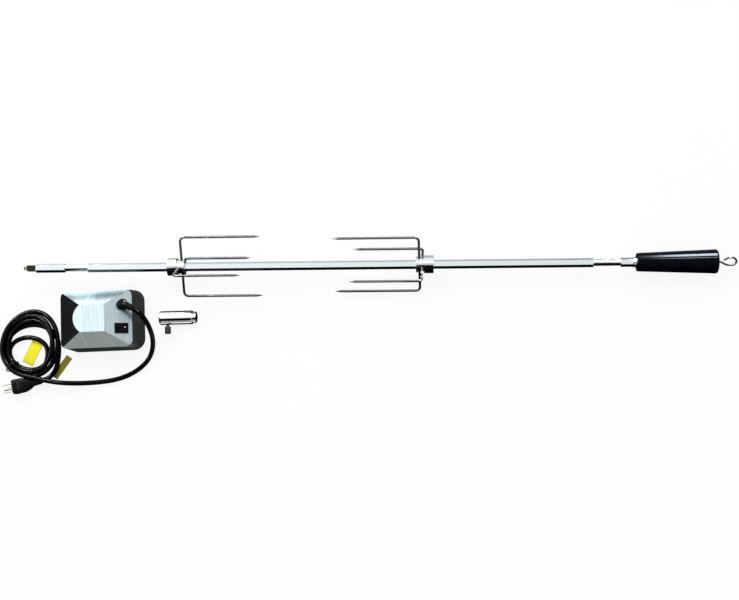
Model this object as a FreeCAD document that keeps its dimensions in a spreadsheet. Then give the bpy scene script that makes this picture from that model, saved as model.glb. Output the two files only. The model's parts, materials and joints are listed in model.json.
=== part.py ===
import FreeCAD, Part
import math
import os
import Sketcher

Vector = FreeCAD.Vector
Rotation = FreeCAD.Rotation
Placement = FreeCAD.Placement

ALONG_X = Vector(1, 0, 0)
ALONG_Y = Vector(0, 1, 0)
ALONG_Z = Vector(0, 0, 1)

doc = FreeCAD.newDocument("SpitRoaster")

# ---------------------------------------------------------------------------------------------
# Driving dimensions, in millimetres and degrees
# ---------------------------------------------------------------------------------------------

DRIVING_SIZES = {
    # fits
    "running_gap": 0.05,
    "seat_gap": 0.05,
    "panel_gap": 0.3,
    # spit rod
    "spit_start_x": -578.3,
    "spit_axis_y": 44.4,
    "hex_flats": 12.7,
    "tip_length": 21.0,
    "tip_point_length": 7.0,
    "tip_square": 9.5,
    "drive_hex_length": 48.5,
    "neck_diameter": 10.5,
    "drive_neck_length": 39.0,
    "meat_hex_length": 821.0,
    "handle_neck_length": 43.5,
    "handle_hex_length": 18.5,
    "tang_diameter": 9.0,
    "tang_length": 82.0,
    # handle
    "ferrule_length": 6.0,
    "ferrule_diameter": 16.0,
    "grip_length": 126.5,
    "grip_front_diameter": 29.5,
    "grip_back_diameter": 38.5,
    "grip_edge": 2.5,
    "eye_wire": 3.2,
    "eye_width": 24.0,
    "eye_height": 16.0,
    "eye_shank": 12.0,
    "eye_tilt": 28.0,
    # forks
    "left_fork_x": -308.5,
    "right_fork_x": 68.8,
    "left_fork_roll": 23.0,
    "right_fork_roll": 38.0,
    "fork_bore": 14.8,
    "fork_plate_diameter": 25.5,
    "fork_plate_length": 3.0,
    "fork_barrel_diameter": 22.5,
    "fork_barrel_length": 10.0,
    "fork_collar_diameter": 28.5,
    "fork_collar_length": 15.0,
    "prong_circle_radius": 50.0,
    "prong_wire": 4.0,
    "prong_bend": 7.0,
    "prong_seat": 2.4,
    "prong_point": 9.0,
    "left_long_prong": 130.5,
    "left_short_prong": 109.0,
    "right_long_prong": 139.0,
    "right_short_prong": 115.5,
    "long_prong_station": 5.3,
    "short_prong_station": 9.8,
    "fork_screw_thread": 6.0,
    "fork_screw_neck": 3.0,
    "fork_screw_head": 14.0,
    "fork_screw_head_length": 11.0,
    # sleeve bushing
    "bushing_x": -360.2,
    "bushing_y": -36.6,
    "bushing_turn": 1.2,
    "bushing_diameter": 23.0,
    "bushing_length": 55.0,
    "bushing_bore": 15.1,
    "bushing_groove_width": 1.6,
    "bushing_groove_diameter": 17.2,
    "bushing_end_length": 4.8,
    "bushing_end_diameter": 18.6,
    "bushing_edge": 1.2,
    "bushing_screw_station": 13.0,
    "bushing_screw_thread": 5.0,
    "bushing_screw_neck": 3.0,
    "bushing_screw_head": 10.0,
    "bushing_screw_head_length": 12.0,
    # motor unit, outside
    "motor_x": -455.3,
    "motor_y": -40.1,
    "motor_turn": 2.0,
    "rim_width": 120.0,
    "rim_depth": 93.5,
    "base_width": 132.0,
    "base_depth": 101.0,
    "base_corner": 19.0,
    "rim_corner": 11.0,
    "housing_height": 54.0,
    "housing_wall": 3.0,
    "cover_height": 30.0,
    "cover_wall": 1.4,
    "plateau_left": 18.7,
    "plateau_right": 22.8,
    "plateau_depth": 44.5,
    "tongue_reach": 10.5,
    "back_plate_thickness": 3.0,
    "mount_circle": 84.0,
    "mount_hole": 4.5,
    "switch_station": 45.5,
    "switch_y": -17.5,
    "switch_length": 23.0,
    "switch_width": 17.0,
    "switch_depth": 9.0,
    "gland_station": 46.7,
    "gland_y": 21.0,
    "gland_diameter": 18.5,
    "cord_diameter": 8.0,
    # motor unit, inside
    "drive_x": -14.0,
    "drive_y": 0.0,
    "socket_square": 9.7,
    "hub_diameter": 20.0,
    "plate_width": 100.0,
    "plate_depth": 70.0,
    "plate_thickness": 2.0,
    "lower_plate_z": 6.0,
    "upper_plate_z": 36.0,
    "shaft_diameter": 4.0,
    "motor_can_diameter": 36.0,
    "motor_can_height": 20.0,
}

sheet = doc.addObject("Spreadsheet::Sheet", "Sizes")


class Size:
    """A length that carries its number and the sheet expression it is worked out from."""

    def __init__(self, number, text):
        self.number = number
        self.text = text

    def combined(self, sign, other):
        other = other if isinstance(other, Size) else Size(float(other), str(other))
        text = f"({self.text} {sign} {other.text})"
        results = {
            "+": lambda: self.number + other.number,
            "-": lambda: self.number - other.number,
            "*": lambda: self.number * other.number,
            "/": lambda: self.number / other.number,
        }
        return Size(results[sign](), text)

    def __add__(self, other):
        return self.combined("+", other)

    def __sub__(self, other):
        return self.combined("-", other)

    def __mul__(self, other):
        return self.combined("*", other)

    def __truediv__(self, other):
        return self.combined("/", other)

    def __neg__(self):
        return Size(0.0, "0").combined("-", self)

    def __float__(self):
        return self.number


class SizeTable:
    """The sheet's sizes, each reached by its alias."""


def fill_sheet():
    """Write every driving size to the sheet and return them by name."""
    table = SizeTable()
    for row, (alias, number) in enumerate(DRIVING_SIZES.items(), start=1):
        sheet.set(f"A{row}", alias.replace("_", " "))
        sheet.set(f"B{row}", str(number))
        sheet.setAlias(f"B{row}", alias)
        setattr(table, alias, Size(number, f"Sizes.{alias}"))
    doc.recompute()
    return table


S = fill_sheet()
ZERO = Size(0.0, "0")
nodes = {}


# ---------------------------------------------------------------------------------------------
# Building blocks
# ---------------------------------------------------------------------------------------------

def as_size(length):
    """Give a plain number the form of a sheet size."""
    return length if isinstance(length, Size) else Size(float(length), str(length))


def turned_to(direction):
    """Rotation that lays a piece made along +Z along the given direction."""
    return Rotation(ALONG_Z, Vector(direction))


def cylinder(name, radius, height, base=Vector(), direction=ALONG_Z):
    piece = doc.addObject("Part::Cylinder", name)
    piece.setExpression("Radius", as_size(radius).text)
    piece.setExpression("Height", as_size(height).text)
    piece.Placement = Placement(base, turned_to(direction))
    return piece


def block(name, length, width, height, corner=Vector(), rotation=Rotation()):
    piece = doc.addObject("Part::Box", name)
    piece.setExpression("Length", as_size(length).text)
    piece.setExpression("Width", as_size(width).text)
    piece.setExpression("Height", as_size(height).text)
    piece.Placement = Placement(corner, rotation)
    return piece


def hexagon_bar(name, flats, length, start):
    """Hexagonal bar along X with a flat facing up."""
    piece = doc.addObject("Part::Prism", name)
    piece.Polygon = 6
    piece.setExpression("Circumradius", (flats / math.sqrt(3)).text)
    piece.setExpression("Height", as_size(length).text)
    rotation = Rotation(ALONG_Y, 90).multiply(Rotation(ALONG_Z, 30))
    piece.Placement = Placement(Vector(start, 0, 0), rotation)
    return piece


def fused(name, *pieces):
    result = doc.addObject("Part::MultiFuse", name)
    result.Shapes = list(pieces)
    result.Refine = True
    return result


def cut(name, base, *tools):
    result = doc.addObject("Part::Cut", name)
    result.Base = base
    result.Tool = tools[0] if len(tools) == 1 else fused(name + "_cutters", *tools)
    result.Refine = True
    return result


def shaped(name, shape):
    """Feature that holds a shape worked out with Part's own functions."""
    piece = doc.addObject("Part::Feature", name)
    piece.Shape = shape
    return piece


def outline_sketch(body, name, role, corners):
    """Closed outline whose corners are held to the sheet by two distances each."""
    sketch = body.newObject("Sketcher::SketchObject", name)
    plane = next(item for item in body.Origin.OriginFeatures if item.Role == role)
    sketch.AttachmentSupport = [(plane, "")]
    sketch.MapMode = "FlatFace"
    points = [Vector(float(along), float(across), 0) for along, across in corners]
    count = len(points)
    for index, point in enumerate(points):
        sketch.addGeometry(Part.LineSegment(point, points[(index + 1) % count]), False)
    for index in range(count):
        sketch.addConstraint(Sketcher.Constraint("Coincident", index, 2, (index + 1) % count, 1))
    for index, corner in enumerate(corners):
        for kind, distance in zip(("DistanceX", "DistanceY"), corner):
            held = Sketcher.Constraint(kind, -1, 1, index, 1, float(distance))
            number = sketch.addConstraint(held)
            sketch.setExpression(f"Constraints[{number}]", as_size(distance).text)
    return sketch


def turned_body(name, corners):
    """PartDesign body turned about X from an outline of (station, radius) corners."""
    body = doc.addObject("PartDesign::Body", name)
    sketch = outline_sketch(body, name + "_outline", "XY_Plane", corners)
    turn = body.newObject("PartDesign::Revolution", name + "_turn")
    turn.Profile = sketch
    turn.ReferenceAxis = (sketch, ["H_Axis"])
    turn.Angle = 360.0
    sketch.Visibility = False
    return body


def place(label, piece, placement=Placement()):
    """Name a finished piece as a node and move it with its group."""
    piece.Label = label
    piece.Placement = placement.multiply(piece.Placement)
    nodes[label] = piece
    return piece


def rounded_rectangle(low_x, high_x, low_y, high_y, radius, height):
    """Wire of a rectangle with round corners, level at the given height."""
    edges = []
    centres = [
        (high_x - radius, high_y - radius, 0),
        (low_x + radius, high_y - radius, 90),
        (low_x + radius, low_y + radius, 180),
        (high_x - radius, low_y + radius, 270),
    ]
    ends = []
    for centre_x, centre_y, start in centres:
        centre = Vector(centre_x, centre_y, height)
        edge = Part.makeCircle(radius, centre, ALONG_Z, start, start + 90)
        edges.append(edge)
        ends.append((edge.valueAt(edge.FirstParameter), edge.valueAt(edge.LastParameter)))
    loop = []
    for index, edge in enumerate(edges):
        loop.append(edge)
        loop.append(Part.makeLine(ends[index][1], ends[(index + 1) % 4][0]))
    return Part.Wire(Part.__sortEdges__(loop))


def rectangle(low_x, high_x, low_y, high_y, height):
    corners = [(low_x, low_y), (high_x, low_y), (high_x, high_y), (low_x, high_y), (low_x, low_y)]
    return Part.makePolygon([Vector(x, y, height) for x, y in corners])


def arc_path(points, factor=0.45, fixed_radius=None):
    """Straight runs joined by tangent arcs; returns the wire and the arcs' radii."""
    radii = []
    edges = []
    start = points[0]
    for before, corner, after in zip(points, points[1:], points[2:]):
        incoming = (corner - before).normalize()
        outgoing = (after - corner).normalize()
        turn = incoming.getAngle(outgoing)
        shorter = min((corner - before).Length, (after - corner).Length)
        radius = fixed_radius or factor * shorter / math.tan(turn / 2)
        setback = radius * math.tan(turn / 2)
        arc_start = corner - incoming * setback
        arc_end = corner + outgoing * setback
        inward = (outgoing - incoming).normalize()
        middle = corner + inward * (radius / math.cos(turn / 2) - radius)
        if (arc_start - start).Length > 1e-6:
            edges.append(Part.LineSegment(start, arc_start).toShape())
        edges.append(Part.Arc(arc_start, middle, arc_end).toShape())
        start = arc_end
        radii.append(radius)
    edges.append(Part.LineSegment(start, points[-1]).toShape())
    return Part.Wire(edges), radii


def round_bar(path, diameter, first_direction):
    """Round bar or tube of one diameter swept along a path."""
    start = path.OrderedVertexes[0].Point
    ring = Part.Wire([Part.makeCircle(diameter / 2, start, first_direction)])
    return path.makePipeShell([ring], True, False)


# ---------------------------------------------------------------------------------------------
# Where the three groups lie
# ---------------------------------------------------------------------------------------------

# The spit rests on one low prong of each fork, so the rod's slope follows from the two forks.
prong_reach = float(S.prong_circle_radius)
left_drop = prong_reach * math.cos(math.radians(float(S.left_fork_roll))) + float(S.prong_wire) / 2
right_drop = prong_reach * math.cos(math.radians(float(S.right_fork_roll))) + float(S.prong_wire) / 2
left_reach = S.left_short_prong - S.short_prong_station - S.prong_point
left_contact = float(S.left_fork_x - S.spit_start_x + left_reach)
right_contact = float(S.right_fork_x - S.spit_start_x + S.short_prong_station - S.prong_bend)
spit_slope = math.atan((left_drop - right_drop) / (right_contact - left_contact))
spit_start_z = left_contact * math.sin(spit_slope) + left_drop * math.cos(spit_slope)

spit_group = Placement(
    Vector(S.spit_start_x, S.spit_axis_y, spit_start_z),
    Rotation(ALONG_Y, math.degrees(spit_slope)),
)
motor_group = Placement(Vector(S.motor_x, S.motor_y, 0), Rotation(ALONG_Z, float(S.motor_turn)))
bushing_group = Placement(
    Vector(S.bushing_x, S.bushing_y, S.bushing_diameter / 2),
    Rotation(ALONG_Z, float(S.bushing_turn)),
)


# ---------------------------------------------------------------------------------------------
# Spit rod and handle, along X from the drive tip
# ---------------------------------------------------------------------------------------------

drive_hex_start = S.tip_length
drive_neck_start = drive_hex_start + S.drive_hex_length
meat_hex_start = drive_neck_start + S.drive_neck_length
meat_hex_end = meat_hex_start + S.meat_hex_length
handle_hex_start = meat_hex_end + S.handle_neck_length
ferrule_start = handle_hex_start + S.handle_hex_length
grip_start = ferrule_start + S.ferrule_length
grip_end = grip_start + S.grip_length


def make_spit_rod():
    """Square pointed tip, hexagon, neck, long hexagon, neck, hexagon and the hidden tang."""
    half = S.tip_square / 2
    square = block(
        "tip_square_bar", S.tip_length - S.tip_point_length, S.tip_square, S.tip_square,
        Vector(S.tip_point_length, -half, -half),
    )
    point = doc.addObject("Part::Wedge", "tip_point")
    point_size = as_size(1.6)
    for prop, length in (
        ("Xmin", -half), ("Xmax", half), ("Zmin", -half), ("Zmax", half),
        ("Ymin", ZERO), ("Ymax", S.tip_point_length),
        ("X2min", -point_size), ("X2max", point_size), ("Z2min", -point_size), ("Z2max", point_size),
    ):
        point.setExpression(prop, length.text)
    point.Placement = Placement(Vector(S.tip_point_length, 0, 0), Rotation(ALONG_Z, 90))
    drive_hex = hexagon_bar("drive_hex", S.hex_flats, S.drive_hex_length, drive_hex_start)
    drive_neck = cylinder(
        "drive_neck", S.neck_diameter / 2, S.drive_neck_length, Vector(drive_neck_start, 0, 0), ALONG_X
    )
    meat_hex = hexagon_bar("meat_hex", S.hex_flats, S.meat_hex_length, meat_hex_start)
    handle_neck = cylinder(
        "handle_neck", S.neck_diameter / 2, S.handle_neck_length, Vector(meat_hex_end, 0, 0), ALONG_X
    )
    handle_hex = hexagon_bar("handle_hex", S.hex_flats, S.handle_hex_length, handle_hex_start)
    tang = cylinder("tang", S.tang_diameter / 2, S.tang_length, Vector(ferrule_start, 0, 0), ALONG_X)
    rod = fused(
        "spit_rod_fused", square, point, drive_hex, drive_neck, meat_hex, handle_neck, handle_hex, tang
    )
    place("spit_rod", rod, spit_group)


def make_handle():
    """Ferrule ring and tapered grip, both over the rod's tang."""
    bore = S.tang_diameter / 2 + S.seat_gap
    ferrule = turned_body("handle_ferrule", [
        (ferrule_start, bore),
        (ferrule_start, S.ferrule_diameter / 2 - 1),
        (ferrule_start + 1, S.ferrule_diameter / 2),
        (grip_start, S.ferrule_diameter / 2),
        (grip_start, bore),
    ])
    place("handle_ferrule", ferrule, spit_group)
    bottom = ferrule_start + S.tang_length
    front = S.grip_front_diameter / 2
    back = S.grip_back_diameter / 2
    eye_hole = S.eye_wire / 2 + S.seat_gap
    grip = turned_body("handle_grip", [
        (grip_start, bore),
        (grip_start, front - S.grip_edge / 2),
        (grip_start + S.grip_edge / 2, front),
        (grip_end - S.grip_edge, back),
        (grip_end - S.grip_edge / 3, back - S.grip_edge / 3),
        (grip_end, back - S.grip_edge),
        (grip_end, eye_hole),
        (grip_end - S.eye_shank, eye_hole),
        (grip_end - S.eye_shank, ZERO),
        (bottom, ZERO),
        (bottom, bore),
    ])
    place("handle_grip", grip, spit_group)


def make_eye():
    """Hanging eye: a bent wire whose straight shank is seated in the grip's end."""
    neck = 4.5
    half_height = float(S.eye_height - S.eye_wire) / 2
    width = float(S.eye_width - S.eye_wire)
    grip_face = float(grip_end)
    near = grip_face + 10.0
    far = near + width
    points = [
        Vector(grip_face - float(S.eye_shank), 0, 0),
        Vector(grip_face + neck, 0, 0),
        Vector(near + 0.2 * width, -half_height, 0),
        Vector(near + 0.8 * width, -half_height, 0),
        Vector(far, 0, 0),
        Vector(near + 0.75 * width, half_height, 0),
        Vector(near + 0.35 * width, half_height, 0),
        Vector(near, 0.3 * half_height, 0),
    ]
    path, radii = arc_path(points)
    eye = shaped("eye_wire_bent", round_bar(path, float(S.eye_wire), ALONG_X))
    tilt = Placement(Vector(), Rotation(ALONG_X, float(S.eye_tilt)))
    place("hanging_eye", eye, spit_group.multiply(tilt))
    print("hanging eye radii", [round(radius, 1) for radius in radii])


# ---------------------------------------------------------------------------------------------
# Meat forks. Stations run back from the front face of the hub; facing is +1 towards +X.
# ---------------------------------------------------------------------------------------------

def prong_direction(angle):
    return Vector(0, math.cos(math.radians(angle)), math.sin(math.radians(angle)))


def make_prong(face_x, facing, station, length, angle):
    """L-shaped prong: a leg out of the hub, a bend and a tine with a ground point."""
    outward = prong_direction(angle)
    forward = Vector(facing, 0, 0)
    wire = float(S.prong_wire)
    inner = float(S.fork_barrel_diameter / 2 - S.prong_seat)
    leg_x = face_x - facing * float(station)
    leg = Vector(leg_x, 0, 0) + outward * inner
    corner = Vector(leg_x, 0, 0) + outward * prong_reach
    point_length = float(S.prong_point)
    tine_end = corner + forward * (float(length) - point_length)
    path, _ = arc_path([leg, corner, tine_end], fixed_radius=float(S.prong_bend))
    bar = round_bar(path, wire, outward)
    point = Part.makeCone(wire / 2, 0.3, point_length, tine_end, forward)
    return bar.fuse(point).removeSplitter()


def make_fork(side, face_x, facing, roll, long_length, short_length):
    """Hub, front plate, two long and two short prongs and the clamping thumbscrew."""
    start = float(face_x - S.spit_start_x)
    forward = Vector(facing, 0, 0)
    down = Vector(0, 0, -1)

    def at(station):
        return Vector(start - facing * float(station), 0, 0)

    barrel_end = S.fork_plate_length + S.fork_barrel_length
    collar_end = barrel_end + S.fork_collar_length
    screw_station = barrel_end + S.fork_collar_length / 2
    barrel = cylinder(
        f"{side}_barrel", S.fork_barrel_diameter / 2, S.fork_barrel_length + 1, at(barrel_end + 1), forward
    )
    collar = cylinder(
        f"{side}_collar", S.fork_collar_diameter / 2, S.fork_collar_length, at(collar_end), forward
    )
    bore = cylinder(f"{side}_bore", S.fork_bore / 2, collar_end + 2, at(collar_end + 1), forward)
    thread = cylinder(
        f"{side}_screw_hole", S.fork_screw_thread / 2 + S.running_gap, S.fork_collar_diameter,
        at(screw_station), down,
    )
    holes = []
    for number in range(4):
        station = S.long_prong_station if number % 2 == 0 else S.short_prong_station
        outward = prong_direction(float(roll) + 90 * number)
        inner = float(S.fork_barrel_diameter / 2 - S.prong_seat)
        holes.append(cylinder(
            f"{side}_prong_hole_{number}", S.prong_wire / 2 + S.seat_gap, S.prong_seat + 6,
            at(station) + outward * inner, outward,
        ))
    hub = cut(f"{side}_hub_cut", fused(f"{side}_hub_blank", barrel, collar), bore, thread, *holes)
    place(f"{side}_fork_hub", hub, spit_group)

    plate_blank = cylinder(
        f"{side}_plate_disc", S.fork_plate_diameter / 2, S.fork_plate_length, at(S.fork_plate_length), forward
    )
    plate_bore = cylinder(f"{side}_plate_bore", S.fork_bore / 2, S.fork_plate_length + 2,
                          at(S.fork_plate_length + 1), forward)
    plate = cut(f"{side}_plate_cut", plate_blank, plate_bore)
    place(f"{side}_fork_plate", plate, spit_group)

    for kind, station, length, first in (
        ("long", S.long_prong_station, long_length, 0),
        ("short", S.short_prong_station, short_length, 90),
    ):
        pair = [
            make_prong(start, facing, station, length, float(roll) + first + half_turn)
            for half_turn in (0, 180)
        ]
        both = shaped(f"{side}_{kind}_pair", Part.makeCompound(pair))
        place(f"{side}_fork_{kind}_prongs", both, spit_group)

    tip_radius = S.hex_flats / 2 + S.running_gap
    outside = S.fork_collar_diameter / 2
    shank = cylinder(
        f"{side}_screw_shank", S.fork_screw_thread / 2, outside - tip_radius + S.fork_screw_neck,
        at(screw_station) + down * float(tip_radius), down,
    )
    head = cylinder(
        f"{side}_screw_head", S.fork_screw_head / 2, S.fork_screw_head_length,
        at(screw_station) + down * float(outside + S.fork_screw_neck), down,
    )
    place(f"{side}_fork_screw", fused(f"{side}_screw", shank, head), spit_group)


# ---------------------------------------------------------------------------------------------
# Sleeve bushing
# ---------------------------------------------------------------------------------------------

def make_bushing():
    """Sleeve with a groove and an end collar, and a knurled thumbscrew in its side."""
    bore = S.bushing_bore / 2
    outside = S.bushing_diameter / 2
    groove_end = S.bushing_length + S.bushing_groove_width
    sleeve = turned_body("bushing_turned", [
        (ZERO, bore),
        (ZERO, outside - S.bushing_edge),
        (S.bushing_edge, outside),
        (S.bushing_length - S.bushing_edge / 3, outside),
        (S.bushing_length, outside - S.bushing_edge / 3),
        (S.bushing_length, S.bushing_groove_diameter / 2),
        (groove_end, S.bushing_groove_diameter / 2),
        (groove_end, S.bushing_end_diameter / 2),
        (groove_end + S.bushing_end_length, S.bushing_end_diameter / 2),
        (groove_end + S.bushing_end_length, bore),
    ])
    aside = Vector(0, -1, 0)
    station = Vector(S.bushing_screw_station, 0, 0)
    hole = cylinder(
        "bushing_screw_hole", S.bushing_screw_thread / 2 + S.running_gap, S.bushing_diameter, station, aside
    )
    place("bushing_sleeve", cut("bushing_cut", sleeve, hole), bushing_group)
    shank = cylinder(
        "bushing_screw_shank", S.bushing_screw_thread / 2, outside - bore + S.bushing_screw_neck,
        station + aside * float(bore), aside,
    )
    head = cylinder(
        "bushing_screw_head", S.bushing_screw_head / 2, S.bushing_screw_head_length,
        station + aside * float(outside + S.bushing_screw_neck), aside,
    )
    place("bushing_screw", fused("bushing_screw_fused", shank, head), bushing_group)


# ---------------------------------------------------------------------------------------------
# Motor unit, outside
# ---------------------------------------------------------------------------------------------

rim_half_x = float(S.rim_width) / 2
rim_half_y = float(S.rim_depth) / 2
base_half_x = float(S.base_width) / 2
base_half_y = float(S.base_depth) / 2
rim_z = float(S.housing_height)
top_z = rim_z + float(S.cover_height)
plateau_half_y = float(S.plateau_depth) / 2
right_run = rim_half_x - float(S.plateau_right)
facet_angle = math.atan2(float(S.cover_height), right_run)
facet_normal = Vector(math.sin(facet_angle), 0, math.cos(facet_angle))
boss_radius = 5.0
screw_radius = 1.6
corner_inset = float(S.housing_wall) + boss_radius + 3.5


def drafted_box(inset, low, high):
    """Box with the housing's draft and round corners, drawn in by an inset."""
    def half_at(height, base, rim):
        return base + (rim - base) * height / rim_z - inset

    wires = []
    for height in (low, high):
        half_x = half_at(height, base_half_x, rim_half_x)
        half_y = half_at(height, base_half_y, rim_half_y)
        radius = half_at(height, float(S.base_corner), float(S.rim_corner))
        wires.append(rounded_rectangle(-half_x, half_x, -half_y, half_y, radius, height))
    return Part.makeLoft(wires, True, True)


def corner_points(inset):
    return [
        Vector(side_x * (base_half_x - inset), side_y * (base_half_y - inset), 0)
        for side_x in (-1, 1)
        for side_y in (-1, 1)
    ]


def make_housing():
    """Drafted wall ring with four screw bosses, and the plate that closes its back."""
    wall = float(S.housing_wall)
    ring = drafted_box(0, 0, rim_z).cut(drafted_box(wall, -1, rim_z + 1))
    plate_top = float(S.back_plate_thickness)
    inside = drafted_box(wall / 2, plate_top, rim_z)
    for corner in corner_points(corner_inset):
        boss = Part.makeCylinder(boss_radius, 16, corner + Vector(0, 0, plate_top))
        rib = Part.makeBox(corner_inset, 3, 16, Vector(0, -1.5, plate_top))
        side = 0 if corner.x > 0 else 180
        rib.Placement = Placement(corner, Rotation(ALONG_Z, side)).multiply(rib.Placement)
        ring = ring.fuse(boss.fuse(rib).common(inside))
    for corner in corner_points(corner_inset):
        ring = ring.cut(Part.makeCylinder(screw_radius + float(S.running_gap), 14, corner))
    place("housing", shaped("housing_shell", ring.removeSplitter()), motor_group)

    plate = drafted_box(wall + float(S.panel_gap), 0, plate_top)
    drive = Vector(S.drive_x, S.drive_y, 0)
    plate = plate.cut(Part.makeCylinder(float(S.hub_diameter) / 2 + 3, 8, drive - Vector(0, 0, 1)))
    for corner in corner_points(corner_inset):
        plate = plate.cut(Part.makeCylinder(screw_radius + 0.2, 8, corner - Vector(0, 0, 1)))
        plate = plate.cut(Part.makeCylinder(3.4, 1.8, corner))
    for number in range(4):
        angle = math.radians(45 + 90 * number)
        reach = float(S.mount_circle) / 2
        centre = Vector(reach * math.cos(angle), reach * math.sin(angle), -1)
        plate = plate.cut(Part.makeCylinder(float(S.mount_hole) / 2, 8, centre))
    place("back_plate", shaped("back_plate_panel", plate), motor_group)

    screws = []
    for corner in corner_points(corner_inset):
        head = Part.makeCylinder(3.1, 1.3, corner + Vector(0, 0, 0.5))
        thread = Part.makeCylinder(screw_radius, 12, corner + Vector(0, 0, 1.8))
        slot = Part.makeBox(5, 0.9, 0.6, corner + Vector(-2.5, -0.45, 0.5))
        screws.append(head.fuse(thread).cut(slot).removeSplitter())
    place("back_plate_screws", shaped("back_screws", Part.makeCompound(screws)), motor_group)


def pyramid(inset, drop):
    """Round-cornered frustum of the cover, drawn in by an inset and lowered by a drop."""
    lower = rectangle(-rim_half_x + inset, rim_half_x - inset, -rim_half_y + inset, rim_half_y - inset, rim_z)
    upper = rectangle(
        -float(S.plateau_left) + inset, float(S.plateau_right) - inset,
        -plateau_half_y + inset, plateau_half_y - inset, top_z - drop,
    )
    edge_x, edge_y, radius = rim_half_x - inset, rim_half_y - inset, float(S.rim_corner) - inset
    outline = Part.Face(rounded_rectangle(-edge_x, edge_x, -edge_y, edge_y, radius, rim_z))
    rounded = outline.extrude(Vector(0, 0, top_z - rim_z))
    return Part.makeLoft([lower, upper], True, True).common(rounded)


def left_wedge(margin):
    """Everything beyond the two left hips of the pyramid, grown by a margin."""
    left = -float(S.plateau_left)
    slope = (rim_half_y - plateau_half_y) / (rim_half_x + left)
    far = -rim_half_x - 20
    near = left + margin
    half_near = plateau_half_y + margin
    half_far = half_near + (near - far) * slope
    corners = [(near, -half_near), (near, half_near), (far, half_far), (far, -half_far), (near, -half_near)]
    outline = Part.makePolygon([Vector(x, y, rim_z - 5) for x, y in corners])
    return Part.Face(outline).extrude(Vector(0, 0, 60))


def tongue_prism(offset, low, high):
    """Round-ended prism of the plateau's tongue, grown or shrunk by an offset."""
    half = plateau_half_y - 1.0
    reach = float(S.tongue_reach)
    radius = (half * half + reach * reach) / (2 * reach)
    centre = Vector(-float(S.plateau_left) - reach + radius, 0, low)
    disc = Part.makeCylinder(radius + offset, high - low, centre)
    keep_right = -float(S.plateau_left) + 6 + offset
    keep = Part.makeBox(60, 2 * (half + offset), high - low, Vector(keep_right - 60, -half - offset, low))
    return disc.common(keep)


def make_cover():
    """Steel pyramid with its plateau and tongue, and the dark end cap that fills its left side."""
    wall = float(S.cover_wall)
    gap = float(S.panel_gap)
    outer = pyramid(0, 0)
    shell = outer.cut(pyramid(wall, wall))
    tongue_outer = tongue_prism(0, rim_z, top_z)
    above_facet = tongue_outer.cut(pyramid(-0.01, 0))
    tongue_inner = tongue_prism(-wall, rim_z - 5, top_z - wall)
    steel = shell.cut(left_wedge(0))
    tongue = above_facet.cut(tongue_inner)
    steel = steel.fuse(tongue).fuse(bridge_plate(wall)).removeSplitter()
    steel = steel.cut(switch_opening()).cut(gland_opening())
    place("steel_cover", shaped("steel_pyramid", steel), motor_group)

    cap_wall = 2.4
    cap = outer.cut(pyramid(cap_wall, cap_wall)).common(left_wedge(-gap))
    cap = cap.cut(tongue_prism(gap, rim_z - 5, top_z + 5))
    place("end_cap", shaped("end_cap_shell", cap), motor_group)


def bridge_plate(wall):
    """The plateau's own sheet carried on over the tongue's root."""
    root = tongue_prism(0, top_z - wall, top_z)
    return root


def on_facet(station, across, lift):
    """Point on the right facet at a station from the centre, lifted along its normal."""
    height = top_z - (station - float(S.plateau_right)) * math.tan(facet_angle)
    return Vector(station, across, height) + facet_normal * lift


def facet_placement(station, across, lift=0.0):
    """Frame on the right facet: local X runs down the slope, local Z along the normal."""
    rotation = Rotation(ALONG_Y, math.degrees(facet_angle))
    return Placement(on_facet(station, across, lift), rotation)


def facet_block(length, width, low, high, station, across):
    block_shape = Part.makeBox(length, width, high - low, Vector(-length / 2, -width / 2, low))
    block_shape.Placement = facet_placement(station, across)
    return block_shape


def facet_cylinder(radius, low, high, station, across):
    shape = Part.makeCylinder(radius, high - low, Vector(0, 0, low))
    shape.Placement = facet_placement(station, across)
    return shape


switch_seat = (float(S.switch_station), float(S.switch_y))
gland_seat = (float(S.gland_station), float(S.gland_y))
switch_body_length = float(S.switch_length) - 4
switch_body_width = float(S.switch_width) - 4
gland_thread = 6.0
rocker_axle = 1.2
rocker_low = -4.0


def switch_opening():
    gap = float(S.panel_gap)
    return facet_block(switch_body_length + gap, switch_body_width + gap, -8, 8, *switch_seat)


def gland_opening():
    return facet_cylinder(gland_thread + float(S.running_gap), -8, 8, *gland_seat)


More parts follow.
